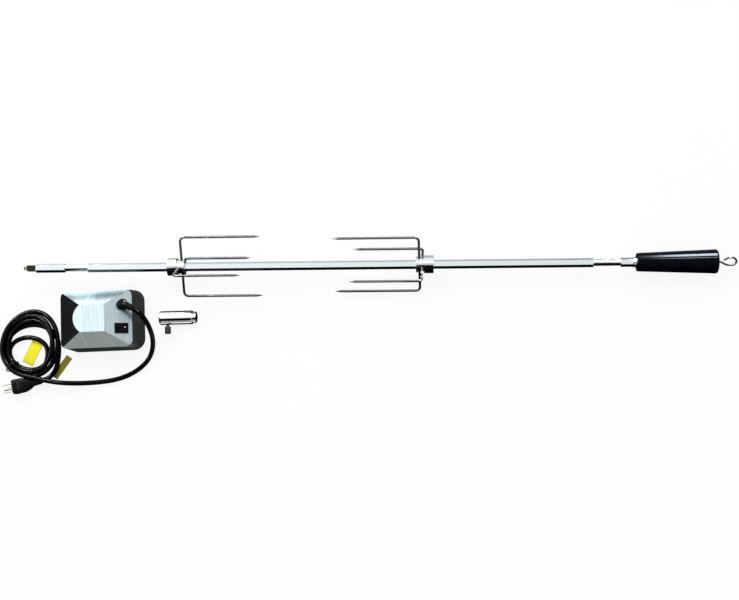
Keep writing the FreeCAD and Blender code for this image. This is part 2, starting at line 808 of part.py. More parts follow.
def make_switch():
    """Rocker switch: body with a bezel, the rocker on its axle, and two terminals."""
    bezel = facet_block(float(S.switch_length), float(S.switch_width), 0, 1.6, *switch_seat)
    body = facet_block(switch_body_length, switch_body_width, -float(S.switch_depth), 1.0, *switch_seat)
    well = facet_block(switch_body_length - 3, switch_body_width - 3, -7, 5, *switch_seat)
    axle_hole = Part.makeCylinder(rocker_axle + float(S.running_gap), switch_body_width - 1,
                                  Vector(0, -(switch_body_width - 1) / 2, rocker_low), ALONG_Y)
    axle_hole.Placement = facet_placement(*switch_seat)
    switch = bezel.fuse(body).removeSplitter().cut(well).cut(axle_hole)
    place("switch_body", shaped("switch_shell", switch), motor_group)

    half = switch_body_length / 2 - 2.9
    side = switch_body_width / 2 - 2.0
    profile = [(-half, -1.5), (half, 1.2), (half, 4.4), (0, 2.6), (-half, 1.9), (-half, -1.5)]
    slab = Part.Face(Part.makePolygon([Vector(x, -side, z) for x, z in profile]))
    rocker = slab.extrude(Vector(0, 2 * side, 0))
    web = Part.makeBox(5, 2 * side, 5.5, Vector(-2.5, -side, rocker_low - 1.5))
    axle_length = switch_body_width - 2
    axle = Part.makeCylinder(rocker_axle, axle_length, Vector(0, -axle_length / 2, rocker_low), ALONG_Y)
    rocker = rocker.fuse(web).fuse(axle).removeSplitter()
    rocker.Placement = facet_placement(*switch_seat)
    place("switch_rocker", shaped("rocker", rocker), motor_group)

    base = facet_placement(*switch_seat)
    blades = []
    for shift in (-5.0, 5.0):
        blade = Part.makeBox(0.8, 6, 7, Vector(shift - 0.4, -3, -float(S.switch_depth) - 7))
        blade.Placement = base
        blades.append(blade)
    place("switch_terminals", shaped("terminals", Part.makeCompound(blades)), motor_group)


# The boot rises from the facet and bends until it points over the unit's right edge.
boot_rise = on_facet(gland_seat[0], gland_seat[1], 9.0)
boot_heading = Vector(0.86, -0.49, -0.14).normalize()
boot_end = boot_rise + boot_heading * 13.5


def make_gland():
    """Cable gland: flange and bent boot outside, thread through the facet, nut inside."""
    flange = facet_cylinder(float(S.gland_diameter) / 2, 0, 4.0, *gland_seat)
    dome = Part.makeCone(float(S.gland_diameter) / 2 - 1.5, 6.4, 2.5, Vector(0, 0, 4.0))
    dome.Placement = facet_placement(*gland_seat)
    path, _ = arc_path([on_facet(*gland_seat, 1.0), boot_rise, boot_end])
    boot = round_bar(path, float(S.cord_diameter) + 3.0, facet_normal)
    thread = facet_cylinder(gland_thread, -12, 0, *gland_seat)
    body = flange.fuse(dome).fuse(boot).fuse(thread).removeSplitter()
    place("gland_body", shaped("gland_shell", body), motor_group)
    corners = [math.radians(60 * number) for number in range(7)]
    across = 9.2
    outline = [Vector(across * math.cos(angle), across * math.sin(angle), -6.5) for angle in corners]
    nut = Part.Face(Part.makePolygon(outline)).extrude(Vector(0, 0, 4.5))
    nut = nut.cut(Part.makeCylinder(gland_thread + float(S.running_gap), 8, Vector(0, 0, -8)))
    nut.Placement = facet_placement(*gland_seat)
    place("gland_nut", shaped("gland_nut_hex", nut), motor_group)


# ---------------------------------------------------------------------------------------------
# Gear train. Axes stand along Z in the motor's frame.
# ---------------------------------------------------------------------------------------------

PRESSURE_ANGLE = math.radians(20)
ADDENDUM = 0.85
DEDENDUM = 1.1
BACKLASH = 0.12


def involute(base_radius, radius):
    """Polar angle that an involute of the base circle has turned through at a radius."""
    pressure = math.acos(min(1.0, base_radius / radius))
    return math.tan(pressure) - pressure


def gear_solid(teeth, module, thickness, bore, bottom, phase):
    """Spur gear with involute flanks; a tooth is centred on the phase angle."""
    pitch = teeth * module / 2
    base = pitch * math.cos(PRESSURE_ANGLE)
    tip = pitch + ADDENDUM * module
    root = pitch - DEDENDUM * module
    half_pitch_angle = math.pi / (2 * teeth) - BACKLASH / (2 * pitch)
    at_pitch = involute(base, pitch)
    start = max(base, root)
    radii = [start + (tip - start) * step / 4 for step in range(5)]
    outline = []
    for tooth in range(teeth):
        centre = phase + 2 * math.pi * tooth / teeth
        flank = [(radius, half_pitch_angle + at_pitch - involute(base, radius)) for radius in radii]
        if root < start:
            flank.insert(0, (root, flank[0][1]))
        right = [(radius, centre - half) for radius, half in flank]
        left = [(radius, centre + half) for radius, half in reversed(flank)]
        outline.extend(right + left)
    points = [Vector(radius * math.cos(angle), radius * math.sin(angle), bottom) for radius, angle in outline]
    points.append(points[0])
    solid = Part.Face(Part.makePolygon(points)).extrude(Vector(0, 0, thickness))
    if bore:
        solid = solid.cut(Part.makeCylinder(bore, thickness + 2, Vector(0, 0, bottom - 1)))
    return solid


def mating_phase(own_phase, own_teeth, direction, mate_teeth):
    """Phase that puts the mate's gap on this gear's tooth along the line of centres."""
    own_pitch = 2 * math.pi / own_teeth
    mate_pitch = 2 * math.pi / mate_teeth
    ahead = ((direction - own_phase) / own_pitch) % 1.0
    return direction + math.pi + mate_pitch * (ahead + 0.5)


DRIVE_TEETH, DRIVE_MODULE = 60, 1.0
SECOND_TEETH, SECOND_MODULE = 48, 0.8
FIRST_TEETH, FIRST_MODULE = 50, 0.6
PINION_TEETH, ROTOR_TEETH = 12, 10
CENTRE_EASE = 0.1

drive_axis = Vector(S.drive_x, S.drive_y, 0)
second_bearing = math.radians(15)
first_bearing = math.radians(-90)
rotor_bearing = math.radians(190)


def stepped(start, distance, bearing):
    return start + Vector(distance * math.cos(bearing), distance * math.sin(bearing), 0)


drive_centres = (DRIVE_TEETH + PINION_TEETH) * DRIVE_MODULE / 2 + CENTRE_EASE
second_centres = (SECOND_TEETH + PINION_TEETH) * SECOND_MODULE / 2 + CENTRE_EASE
second_axis = stepped(drive_axis, drive_centres, second_bearing)
first_axis = stepped(second_axis, second_centres, first_bearing)
rotor_axis = stepped(first_axis, (FIRST_TEETH + ROTOR_TEETH) * FIRST_MODULE / 2 + CENTRE_EASE, rotor_bearing)

drive_z, drive_face = 12.0, 8.0
second_z, second_face = 22.0, 5.0
first_z, first_face = 29.5, 3.5


def moved(shape, axis):
    shape.translate(axis)
    return shape


def make_gears():
    """Drive gear on its hub, two compound gears on fixed shafts, and the rotor with its pinion."""
    hub_radius = float(S.hub_diameter) / 2
    seat = float(S.seat_gap)
    run = float(S.running_gap)
    shaft = float(S.shaft_diameter) / 2
    drive_gear = gear_solid(DRIVE_TEETH, DRIVE_MODULE, drive_face, hub_radius - 3 + seat, drive_z, 0.0)
    place("drive_gear", shaped("drive_wheel", moved(drive_gear, drive_axis)), motor_group)
    hub = Part.makeCylinder(hub_radius, drive_z - 1, Vector(0, 0, 1))
    hub = hub.fuse(Part.makeCylinder(hub_radius - 3, drive_face, Vector(0, 0, drive_z)))
    half = float(S.socket_square) / 2
    socket = Part.makeBox(2 * half, 2 * half, 17, Vector(-half, -half, 0))
    hub = hub.removeSplitter().cut(socket)
    place("drive_hub", shaped("drive_socket_hub", moved(hub, drive_axis)), motor_group)

    second_pinion_phase = mating_phase(0.0, DRIVE_TEETH, second_bearing, PINION_TEETH)
    second = gear_solid(
        PINION_TEETH, DRIVE_MODULE, second_z - drive_z + 0.5, 0, drive_z - 0.5, second_pinion_phase
    )
    second = second.fuse(gear_solid(SECOND_TEETH, SECOND_MODULE, second_face, 0, second_z, 0.0))
    second = second.cut(Part.makeCylinder(shaft + run, 40, Vector(0, 0, 0)))
    place("second_gear", shaped("second_compound", moved(second, second_axis)), motor_group)

    first_pinion_phase = mating_phase(0.0, SECOND_TEETH, first_bearing, PINION_TEETH)
    first = gear_solid(
        PINION_TEETH, SECOND_MODULE, first_z - second_z + 0.5, 0, second_z - 0.5, first_pinion_phase
    )
    first = first.fuse(gear_solid(FIRST_TEETH, FIRST_MODULE, first_face, 0, first_z, 0.0))
    first = first.cut(Part.makeCylinder(shaft / 1.6 + run, 40, Vector(0, 0, 0)))
    place("first_gear", shaped("first_compound", moved(first, first_axis)), motor_group)

    rotor_phase = mating_phase(0.0, FIRST_TEETH, rotor_bearing, ROTOR_TEETH)
    can_floor = float(S.upper_plate_z + S.plate_thickness)
    pinion = gear_solid(ROTOR_TEETH, FIRST_MODULE, first_face + 1, 0, first_z - 0.5, rotor_phase)
    spindle = Part.makeCylinder(1.5, can_floor + 17 - first_z, Vector(0, 0, first_z + 1))
    magnet = Part.makeCylinder(9, 11, Vector(0, 0, can_floor + 3.5))
    rotor = pinion.fuse(spindle).fuse(magnet)
    place("rotor", shaped("rotor_shaft", moved(rotor, rotor_axis)), motor_group)


def make_gear_plates():
    """Two plates held apart by standoffs, the fixed shafts, and the bush of the drive hub."""
    low_z = float(S.lower_plate_z)
    high_z = float(S.upper_plate_z)
    thick = float(S.plate_thickness)
    run = float(S.running_gap)
    seat = float(S.seat_gap)
    half_x = float(S.plate_width) / 2
    half_y = float(S.plate_depth) / 2
    shaft = float(S.shaft_diameter) / 2
    bush_radius = float(S.hub_diameter) / 2 + 3
    first_shaft = shaft / 1.6
    lower = Part.makeBox(2 * half_x, 2 * half_y, thick, Vector(-half_x, -half_y, low_z))
    lower = lower.cut(Part.makeCylinder(bush_radius + seat, thick + 2, drive_axis + Vector(0, 0, low_z - 1)))
    upper = Part.makeBox(2 * half_x, 2 * half_y, thick, Vector(-half_x, -half_y, high_z))
    upper = upper.cut(Part.makeCylinder(1.5 + run, thick + 2, rotor_axis + Vector(0, 0, high_z - 1)))
    shafts = []
    for axis, radius in ((second_axis, shaft), (first_axis, first_shaft)):
        hole = Part.makeCylinder(radius + seat, 60, axis)
        lower = lower.cut(hole)
        upper = upper.cut(hole)
        shafts.append(Part.makeCylinder(radius, high_z + thick - low_z, axis + Vector(0, 0, low_z)))
    place("gear_plate_lower", shaped("lower_plate", lower), motor_group)
    place("gear_plate_upper", shaped("upper_plate", upper), motor_group)
    place("gear_shafts", shaped("fixed_shafts", Part.makeCompound(shafts)), motor_group)

    plate_top = float(S.back_plate_thickness)
    posts = []
    for side_x in (-1, 1):
        for side_y in (-1, 1):
            foot = Vector(side_x * (half_x - 5), side_y * (half_y - 5), 0)
            posts.append(Part.makeCylinder(4, low_z - plate_top, foot + Vector(0, 0, plate_top)))
            posts.append(Part.makeCylinder(3, high_z - low_z - thick, foot + Vector(0, 0, low_z + thick)))
    place("standoffs", shaped("standoff_posts", Part.makeCompound(posts)), motor_group)

    bush = Part.makeCylinder(bush_radius, low_z + thick - plate_top, drive_axis + Vector(0, 0, plate_top))
    collar_foot = drive_axis + Vector(0, 0, plate_top)
    bush = bush.fuse(Part.makeCylinder(bush_radius + 2, low_z - plate_top, collar_foot))
    bush = bush.cut(Part.makeCylinder(float(S.hub_diameter) / 2 + run, 20, drive_axis)).removeSplitter()
    place("drive_bush", shaped("drive_bush_ring", bush), motor_group)

    radius = float(S.motor_can_diameter) / 2
    height = float(S.motor_can_height)
    can_floor = high_z + thick
    base = rotor_axis + Vector(0, 0, can_floor)
    can = Part.makeCylinder(radius, height, base)
    can = can.cut(Part.makeCylinder(radius - 1, height - 2, base + Vector(0, 0, 1)))
    can = can.cut(Part.makeCylinder(1.5 + run, height + 4, base - Vector(0, 0, 1)))
    place("motor_can", shaped("motor_can_shell", can), motor_group)
    coil = Part.makeCylinder(radius - 1 - seat, height - 6, base + Vector(0, 0, 1))
    coil = coil.cut(Part.makeCylinder(9.6, height, base))
    place("field_coil", shaped("field_winding", coil), motor_group)


# ---------------------------------------------------------------------------------------------
# Mains lead: tube, coil, tail, plug, tie and two bare tags
# ---------------------------------------------------------------------------------------------

gland_exit = motor_group.multVec(boot_end)
lead_points = [
    gland_exit,
    Vector(-380.0, -30.5, 68.2),
    Vector(-371.5, -42.0, 60.0),
    Vector(-367.5, -56.0, 45.5),
    Vector(-367.5, -71.0, 28.0),
    Vector(-371.5, -87.5, 12.5),
    Vector(-380.0, -104.5, 4.3),
    Vector(-394.5, -119.5, 4.1),
    Vector(-414.5, -131.5, 4.1),
    Vector(-440.0, -139.5, 4.3),
    Vector(-468.0, -143.0, 7.5),
    Vector(-496.0, -144.5, 14.0),
    Vector(-522.0, -144.0, 20.0),
    Vector(-546.0, -141.0, 21.0),
    Vector(-566.5, -134.8, 20.0),
]
tail_points = [
    Vector(-536.0, -104.0, 4.7),
    Vector(-538.5, -116.0, 4.7),
    Vector(-543.0, -126.5, 5.0),
    Vector(-550.5, -135.5, 8.2),
    Vector(-562.7, -140.7, 12.0),
]


def make_tube(label, points):
    """Tube of the cord along a route, with its radii and its volume printed."""
    diameter = float(S.cord_diameter)
    path, radii = arc_path(points)
    tube = round_bar(path, diameter, points[1] - points[0])
    expected = math.pi * diameter ** 2 / 4 * path.Length
    print(label, "length", round(path.Length, 1), "radii", [round(radius) for radius in radii],
          "volume ratio", round(tube.Volume / expected, 4))
    place(label, shaped(label + "_tube", tube))


def ellipse_prism(centre_x, centre_y, half_x, half_y, low, high):
    """Upright prism with an elliptical outline."""
    major = Vector(half_x, 0, 0) if half_x >= half_y else Vector(0, half_y, 0)
    centre = Vector(centre_x, centre_y, low)
    side = Vector(0, half_y, 0) if half_x >= half_y else Vector(-half_x, 0, 0)
    curve = Part.Ellipse(centre + major, centre + side, centre)
    return Part.Face(Part.Wire([curve.toShape()])).extrude(Vector(0, 0, high - low))


def make_coil():
    """Outer shape of the loose coil: an oval ring, wider at its far side."""
    outer = ellipse_prism(-582.0, -76.0, 52.0, 59.0, 0, 25)
    inner = ellipse_prism(-579.0, -86.0, 35.0, 32.0, -1, 26)
    place("cord_coil", shaped("coil_ring", outer.cut(inner)))


plug_face_x = -609.0
plug_y = -150.5
plug_z = 12.0
plug_turn = 12.0


def make_plug():
    """Moulded plug with a ribbed tail, two blades and an earth pin underneath."""
    face = rounded_rectangle(-12, 12, -12.5, 12.5, 5, 0)
    middle = rounded_rectangle(-11.5, 11.5, -12, 12, 5, 17)
    neck = rounded_rectangle(-7, 7, -7.5, 7.5, 5, 33)
    body = Part.makeLoft([face, middle], True, True).fuse(Part.makeLoft([middle, neck], True, True))
    tail = Part.makeCone(6.2, 5.0, 16, Vector(0, 0, 32))
    body = body.fuse(tail).removeSplitter()
    body = body.cut(Part.makeCylinder(float(S.cord_diameter) / 2, 6, Vector(0, 0, 44)))
    pins = []
    for side in (-1, 1):
        pins.append(Part.makeBox(6.3, 1.5, 19, Vector(-5.6, side * 6.35 - 0.75, -18)))
    pins.append(Part.makeCylinder(2.4, 22, Vector(9.2, 0, -21)))
    for pin in pins:
        body = body.cut(pin)
    turned = Rotation(ALONG_Z, plug_turn).multiply(Rotation(ALONG_Y, 90))
    lie = Placement(Vector(plug_face_x, plug_y, plug_z), turned)
    place("plug_body", shaped("plug_moulding", body), lie)
    place("plug_blades", shaped("plug_pins", Part.makeCompound(pins)), lie)


TAG_THICKNESS = 0.5


def level_at(x, y, z, turn):
    """Placement at a point, turned about the vertical by an angle in degrees."""
    return Placement(Vector(x, y, z), Rotation(ALONG_Z, turn))


def make_tie_and_tags():
    """Tie over the coil's lower left, and two bare paper tags, one inside the coil, one beside it."""
    across, height, band = 25.0, 26.0, 1.0
    frame = Part.makeBox(3, across, height, Vector(-1.5, -across / 2, 0))
    opening = Part.makeBox(5, across - 2 * band, height, Vector(-2.5, band - across / 2, -band))
    place("coil_tie", shaped("tie_band", frame.cut(opening)), level_at(-612.0, -115.5, 0, -44))
    for label, length, width, spot in (
        ("tag_inner", 42.0, 20.0, level_at(-582.0, -92.0, 0, 64)),
        ("tag_outer", 43.0, 11.5, level_at(-531.0, -117.0, 0, 54)),
    ):
        paper = Part.makeBox(length, width, TAG_THICKNESS, Vector(-length / 2, -width / 2, 0))
        place(label, shaped(label + "_paper", paper), spot)


# ---------------------------------------------------------------------------------------------
# Build, check and write
# ---------------------------------------------------------------------------------------------

make_spit_rod()
make_handle()
make_eye()
make_fork("left", S.left_fork_x, 1, S.left_fork_roll, S.left_long_prong, S.left_short_prong)
make_fork("right", S.right_fork_x, -1, S.right_fork_roll, S.right_long_prong, S.right_short_prong)
make_bushing()
make_housing()
make_cover()
make_switch()
make_gland()
make_gears()
make_gear_plates()
make_tube("cord_lead", lead_points)
make_tube("cord_tail", tail_points)
make_coil()
make_plug()
make_tie_and_tags()
doc.recompute()

for item in doc.Objects:
    if {"Invalid", "Error"} & set(item.State):
        raise RuntimeError(f"{item.Name} failed to build: {item.State}")
for label, piece in nodes.items():
    if piece.Shape.isNull() or not piece.Shape.isValid():
        raise RuntimeError(f"{label} has no valid shape")

os.makedirs("parts", exist_ok=True)
for label, piece in nodes.items():
    piece.Shape.exportStep(f"parts/{label}.step")

CORD_NODES = (
    "cord_lead", "cord_tail", "cord_coil", "plug_body", "plug_blades", "coil_tie", "tag_inner", "tag_outer",
)
whole = FreeCAD.BoundBox()
for label, piece in nodes.items():
    if label not in CORD_NODES:
        whole.add(piece.Shape.BoundBox)
print("nodes", len(nodes), "box without cord", whole)
print("spit slope", round(math.degrees(spit_slope), 3), "start z", round(spit_start_z, 3))
print("gland exit", [round(number, 2) for number in gland_exit])
axes = {"drive": drive_axis, "second": second_axis, "first": first_axis, "rotor": rotor_axis}
for name, axis in axes.items():
    print(name, "axis", [round(number, 3) for number in motor_group.multVec(axis)])
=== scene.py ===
# %% [markdown]
# This script dresses a rotisserie kit: a hexagonal spit with two meat forks, a geared motor unit
# with its coiled mains lead, and a sleeve bushing, all laid flat on a table. The pieces that move
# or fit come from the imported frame. Here they get their finishes, their softened edges, and the
# shapes that are easier to work out as surfaces, such as the cord, the plug and the knurled screws.

import json
import math

import bpy
import numpy as np
from mathutils import Euler, Matrix, Vector


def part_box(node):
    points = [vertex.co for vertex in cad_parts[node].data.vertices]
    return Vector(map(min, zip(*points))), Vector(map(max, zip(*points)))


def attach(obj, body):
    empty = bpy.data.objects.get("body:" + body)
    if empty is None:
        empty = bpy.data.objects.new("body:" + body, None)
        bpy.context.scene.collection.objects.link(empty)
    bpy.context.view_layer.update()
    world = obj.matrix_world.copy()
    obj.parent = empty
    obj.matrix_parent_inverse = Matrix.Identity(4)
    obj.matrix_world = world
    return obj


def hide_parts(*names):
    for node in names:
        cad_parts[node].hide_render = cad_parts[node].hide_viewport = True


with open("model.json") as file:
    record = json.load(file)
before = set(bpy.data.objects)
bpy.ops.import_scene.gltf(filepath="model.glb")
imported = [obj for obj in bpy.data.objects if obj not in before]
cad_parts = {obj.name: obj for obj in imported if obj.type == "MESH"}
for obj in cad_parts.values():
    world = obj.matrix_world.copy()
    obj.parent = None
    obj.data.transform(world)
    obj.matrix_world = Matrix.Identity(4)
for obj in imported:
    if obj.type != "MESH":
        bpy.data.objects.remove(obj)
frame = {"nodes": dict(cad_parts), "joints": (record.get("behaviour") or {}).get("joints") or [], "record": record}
nodes = frame["nodes"]
body_of_node = {
    node: body
    for body, members in frame["record"]["behaviour"]["bodies"].items()
    for node in members
}
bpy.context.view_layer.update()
MM = 0.001

# %% [markdown]
# The camera looks almost straight down, from above a point right of the middle and nearer than it.
# Its tilt is small, so the far walls of the motor unit are hidden and its right wall just shows.
# The length of the lens and the height go together: a longer lens from higher up would flatten
# the pyramid of the motor's cover too much.

# %% Camera
camera_data = bpy.data.cameras.new("camera")
camera_data.lens = 57.58
camera_data.sensor_width = 36.0
camera_data.clip_end = 20.0
camera = bpy.data.objects.new("camera", camera_data)
camera.location = (0.1738, -0.1735, 1.934)
camera.rotation_euler = Euler([math.radians(angle) for angle in (4.836, 5.466, -0.122)])
bpy.context.scene.collection.objects.link(camera)
bpy.context.scene.camera = camera
bpy.context.scene.view_settings.view_transform = "Standard"

# %% [markdown]
# A pale floor and a pale world would make polished steel vanish into the background. A studio
# photographer stands black cards beside it, which only the metal sees, and lets the table in front
# of it fall dark. The cards and the dark part of the floor here are such flags: they show in
# reflections and nowhere else. Two long bright strips give the lacquered handle and the cord their
# highlights. The world is a soft gradient, brighter overhead and at the far side.

# %% Floor, world, lamps and flags
def link(piece):
    """Put an object in the scene's own collection."""
    bpy.context.scene.collection.objects.link(piece)
    return piece


def flat_card(name, corners):
    """Four-cornered card through the given points."""
    mesh = bpy.data.meshes.new(name)
    mesh.from_pydata(corners, [], [(0, 1, 2, 3)])
    return link(bpy.data.objects.new(name, mesh))


def node_tree(material):
    """Empty a material's tree and return it with its output."""
    material.use_nodes = True
    tree = material.node_tree
    tree.nodes.clear()
    return tree, tree.nodes.new("ShaderNodeOutputMaterial")


FLOOR_REACH = 4.0
floor = flat_card("floor", [
    (-FLOOR_REACH, -FLOOR_REACH, 0), (FLOOR_REACH, -FLOOR_REACH, 0),
    (FLOOR_REACH, FLOOR_REACH, 0), (-FLOOR_REACH, FLOOR_REACH, 0),
])
floor_material = bpy.data.materials.new("floor_white")
tree, output = node_tree(floor_material)
diffuse = tree.nodes.new("ShaderNodeBsdfDiffuse")
diffuse.inputs["Color"].default_value = (0.95, 0.95, 0.95, 1)
white = tree.nodes.new("ShaderNodeEmission")
mirrored = tree.nodes.new("ShaderNodeEmission")
path = tree.nodes.new("ShaderNodeLightPath")
seen = tree.nodes.new("ShaderNodeMath")
seen.operation = "MULTIPLY"
seen.inputs[1].default_value = 0.86
place = tree.nodes.new("ShaderNodeTexCoord")
split = tree.nodes.new("ShaderNodeSeparateXYZ")


def ramp_between(tree, source, start, end, low, high):
    """Number that goes from low to high while the source goes from start to end."""
    ramp = tree.nodes.new("ShaderNodeMapRange")
    for label, number in zip(("From Min", "From Max", "To Min", "To Max"), (start, end, low, high)):
        ramp.inputs[label].default_value = number
    tree.links.new(source, ramp.inputs["Value"])
    return ramp.outputs["Result"]


def warm_to_cool(tree, source, start, end):
    """Colour that goes from a warm white to a cool one while the source goes from start to end."""
    ramp = tree.nodes.new("ShaderNodeValToRGB")
    ramp.color_ramp.elements[0].color = (1.0, 0.95, 0.87, 1)
    ramp.color_ramp.elements[1].color = (0.9, 0.98, 1.0, 1)
    tree.links.new(ramp_between(tree, source, start, end, 0.0, 1.0), ramp.inputs[0])
    return ramp.outputs["Color"]


def worked(tree, operation, first, second):
    """Two numbers of a shader put together by one sum."""
    node = tree.nodes.new("ShaderNodeMath")
    node.operation = operation
    tree.links.new(first, node.inputs[0])
    tree.links.new(second, node.inputs[1])
    return node.outputs[0]


seen_blend = tree.nodes.new("ShaderNodeMixShader")
mirror_blend = tree.nodes.new("ShaderNodeMixShader")
tree.links.new(path.outputs["Is Camera Ray"], seen.inputs[0])
tree.links.new(seen.outputs[0], seen_blend.inputs[0])
tree.links.new(diffuse.outputs[0], seen_blend.inputs[1])
tree.links.new(white.outputs[0], seen_blend.inputs[2])
tree.links.new(place.outputs["Object"], split.inputs[0])
# In reflections only, the floor is a painted reflection: dark across the middle, glowing on the far side and brightest
# behind the motor, bright on the near side right of the motor, dim far out in front of the motor, warm white there and
# cool white elsewhere.
far_side = ramp_between(tree, split.outputs["Y"], 0.092, 0.108, 0.03, 0.7)
past_motor = ramp_between(tree, split.outputs["X"], -0.42, -0.38, 0.0, 1.0)
beside_motor = ramp_between(tree, split.outputs["X"], -0.42, -0.38, 1.0, 0.0)
behind_motor = worked(tree, "MULTIPLY", ramp_between(tree, split.outputs["Y"], 0.13, 0.16, 0.0, 1.5), beside_motor)
far_glow = worked(tree, "ADD", far_side, behind_motor)
sleeve_side = worked(tree, "MULTIPLY", ramp_between(tree, split.outputs["Y"], -0.11, -0.095, 1.5, 0.03), past_motor)
motor_side = worked(tree, "MULTIPLY", ramp_between(tree, split.outputs["Y"], -0.24, -0.18, 0.43, 0.03), beside_motor)
near_glow = worked(tree, "MAXIMUM", sleeve_side, motor_side)
to_far_side = ramp_between(tree, split.outputs["Y"], -0.2, 0.1, 0.0, 1.0)
coolness = worked(tree, "MAXIMUM", to_far_side, past_motor)
tree.links.new(warm_to_cool(tree, coolness, 0.0, 1.0), mirrored.inputs["Color"])
tree.links.new(worked(tree, "MAXIMUM", far_glow, near_glow), mirrored.inputs["Strength"])
tree.links.new(path.outputs["Is Glossy Ray"], mirror_blend.inputs[0])
tree.links.new(seen_blend.outputs[0], mirror_blend.inputs[1])
tree.links.new(mirrored.outputs[0], mirror_blend.inputs[2])
tree.links.new(mirror_blend.outputs[0], output.inputs["Surface"])
floor.data.materials.append(floor_material)

world = bpy.data.worlds.new("studio")
bpy.context.scene.world = world
world.use_nodes = True
tree = world.node_tree
tree.nodes.clear()
output = tree.nodes.new("ShaderNodeOutputWorld")
coordinates = tree.nodes.new("ShaderNodeTexCoord")
slope = tree.nodes.new("ShaderNodeVectorMath")
slope.operation = "DOT_PRODUCT"
slope.inputs[1].default_value = (-0.3, 0.45, 0.32)
lift = tree.nodes.new("ShaderNodeMath")
lift.operation = "ADD"
lift.inputs[1].default_value = 0.62
sky_sides = tree.nodes.new("ShaderNodeSeparateXYZ")
soft_sky = tree.nodes.new("ShaderNodeBackground")
white_sky = tree.nodes.new("ShaderNodeBackground")
path = tree.nodes.new("ShaderNodeLightPath")
blend = tree.nodes.new("ShaderNodeMixShader")
tree.links.new(coordinates.outputs["Generated"], slope.inputs[0])
tree.links.new(coordinates.outputs["Generated"], sky_sides.inputs[0])
tree.links.new(warm_to_cool(tree, sky_sides.outputs["Y"], -0.9, 0.6), soft_sky.inputs["Color"])
tree.links.new(slope.outputs["Value"], lift.inputs[0])
tree.links.new(lift.outputs[0], soft_sky.inputs["Strength"])
tree.links.new(path.outputs["Is Camera Ray"], blend.inputs[0])
tree.links.new(soft_sky.outputs[0], blend.inputs[1])
tree.links.new(white_sky.outputs[0], blend.inputs[2])
tree.links.new(blend.outputs[0], output.inputs["Surface"])


def area_lamp(name, place, aim, width, height, power):
    """Rectangular lamp at a place, turned towards the point that it lights."""
    data = bpy.data.lights.new(name, "AREA")
    data.shape = "RECTANGLE"
    data.size = width
    data.size_y = height
    data.energy = power
    lamp = link(bpy.data.objects.new(name, data))
    lamp.location = place
    lamp.rotation_euler = (Vector(aim) - Vector(place)).to_track_quat("-Z", "Y").to_euler()
    return lamp


area_lamp("key", (-0.4, 1.0, 1.8), (-0.1, 0, 0), 1.6, 0.8, 13)


def studio_card(name, corners, strength=0.0):
    """Card that only reflections see, and only from its front: black, or glowing evenly."""
    card = flat_card(name, corners)
    material = bpy.data.materials.new(name)
    tree, output = node_tree(material)
    front = tree.nodes.new("ShaderNodeEmission")
    front.inputs["Strength"].default_value = strength
    back = tree.nodes.new("ShaderNodeBsdfTransparent")
    facing = tree.nodes.new("ShaderNodeNewGeometry")
    sides = tree.nodes.new("ShaderNodeMixShader")
    tree.links.new(facing.outputs["Backfacing"], sides.inputs[0])
    tree.links.new(front.outputs[0], sides.inputs[1])
    tree.links.new(back.outputs[0], sides.inputs[2])
    tree.links.new(sides.outputs[0], output.inputs["Surface"])
    card.data.materials.append(material)
    card.visible_camera = False
    card.visible_diffuse = False
    card.visible_shadow = False
    card.visible_transmission = False
    return card


rod_low, rod_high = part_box("spit_rod")
rod_y = (rod_low[1] + rod_high[1]) / 2


def long_card(name, low_x, high_x, near, far, strength=0.0):
    """Card along X between two (y, z) lines, facing the side that near, far and X turn towards."""
    return studio_card(name, [(low_x, *near), (high_x, *near), (high_x, *far), (low_x, *far)], strength)


def strip_light(name, lean, width, strength, low_x, high_x, reach=1.5):
    """Bright strip along X at an angle from the vertical towards +Y, as seen from the bar."""
    angle = math.radians(lean)
    half = math.radians(width / 2)
    ends = [
        (rod_y + reach * math.sin(angle + side * half), reach * math.cos(angle + side * half))
        for side in (1, -1)
    ]
    return long_card(name, low_x, high_x, ends[0], ends[1], strength)


long_card("low_flag", -0.62, 0.62, (rod_y - 0.056, 0.058), (rod_y - 0.056, 0.004))
for low_x, high_x in ((-0.56, -0.45), (-0.37, -0.28), (0.05, 0.12), (0.3, 0.42)):
    long_card("bar_flag", low_x, high_x, (rod_y - 0.056, 0.27), (rod_y - 0.056, 0.004))
sleeve_low, sleeve_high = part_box("bushing_sleeve")
sleeve_y = (sleeve_low[1] + sleeve_high[1]) / 2
long_card("sleeve_flag", -0.52, -0.24, (sleeve_y - 0.07, 0.3), (sleeve_y - 0.25, 0.18))
print("sleeve", np.round(sleeve_low, 4), np.round(sleeve_high, 4))
long_card("sleeve_glow", -0.8, -0.4, (-0.9, 0.03), (-0.9, 0.5), 2.0)
strip_light("handle_wide", 62, 24.0, 150, 0.63, 0.86)
strip_light("handle_thin", 31, 5.0, 80, 0.63, 0.86)
strip_light("cord_strip", 46, 5.0, 190, -1.5, -0.7)
studio_card("side_box", [(-1.7, -0.5, 0.9), (-1.7, 0.5, 0.9), (-1.65, 0.5, 0.98), (-1.65, -0.5, 0.98)], 50)

# %% [markdown]
# Every metal and plastic shares a few effects: fine unevenness and brushing in one direction.
# Each is a node group with named inputs, built once. A group gives only numbers that change over
# the surface, so each material keeps its own shader.

# %% Shared shader groups
def shader_group(name, inputs, outputs):
    """New node group with float inputs (name, default) and float outputs."""
    tree = bpy.data.node_groups.new(name, "ShaderNodeTree")
    for label, default in inputs:
        socket = tree.interface.new_socket(name=label, in_out="INPUT", socket_type="NodeSocketFloat")
        socket.default_value = default
    for label in outputs:
        tree.interface.new_socket(name=label, in_out="OUTPUT", socket_type="NodeSocketFloat")
    return tree, tree.nodes.new("NodeGroupInput"), tree.nodes.new("NodeGroupOutput")


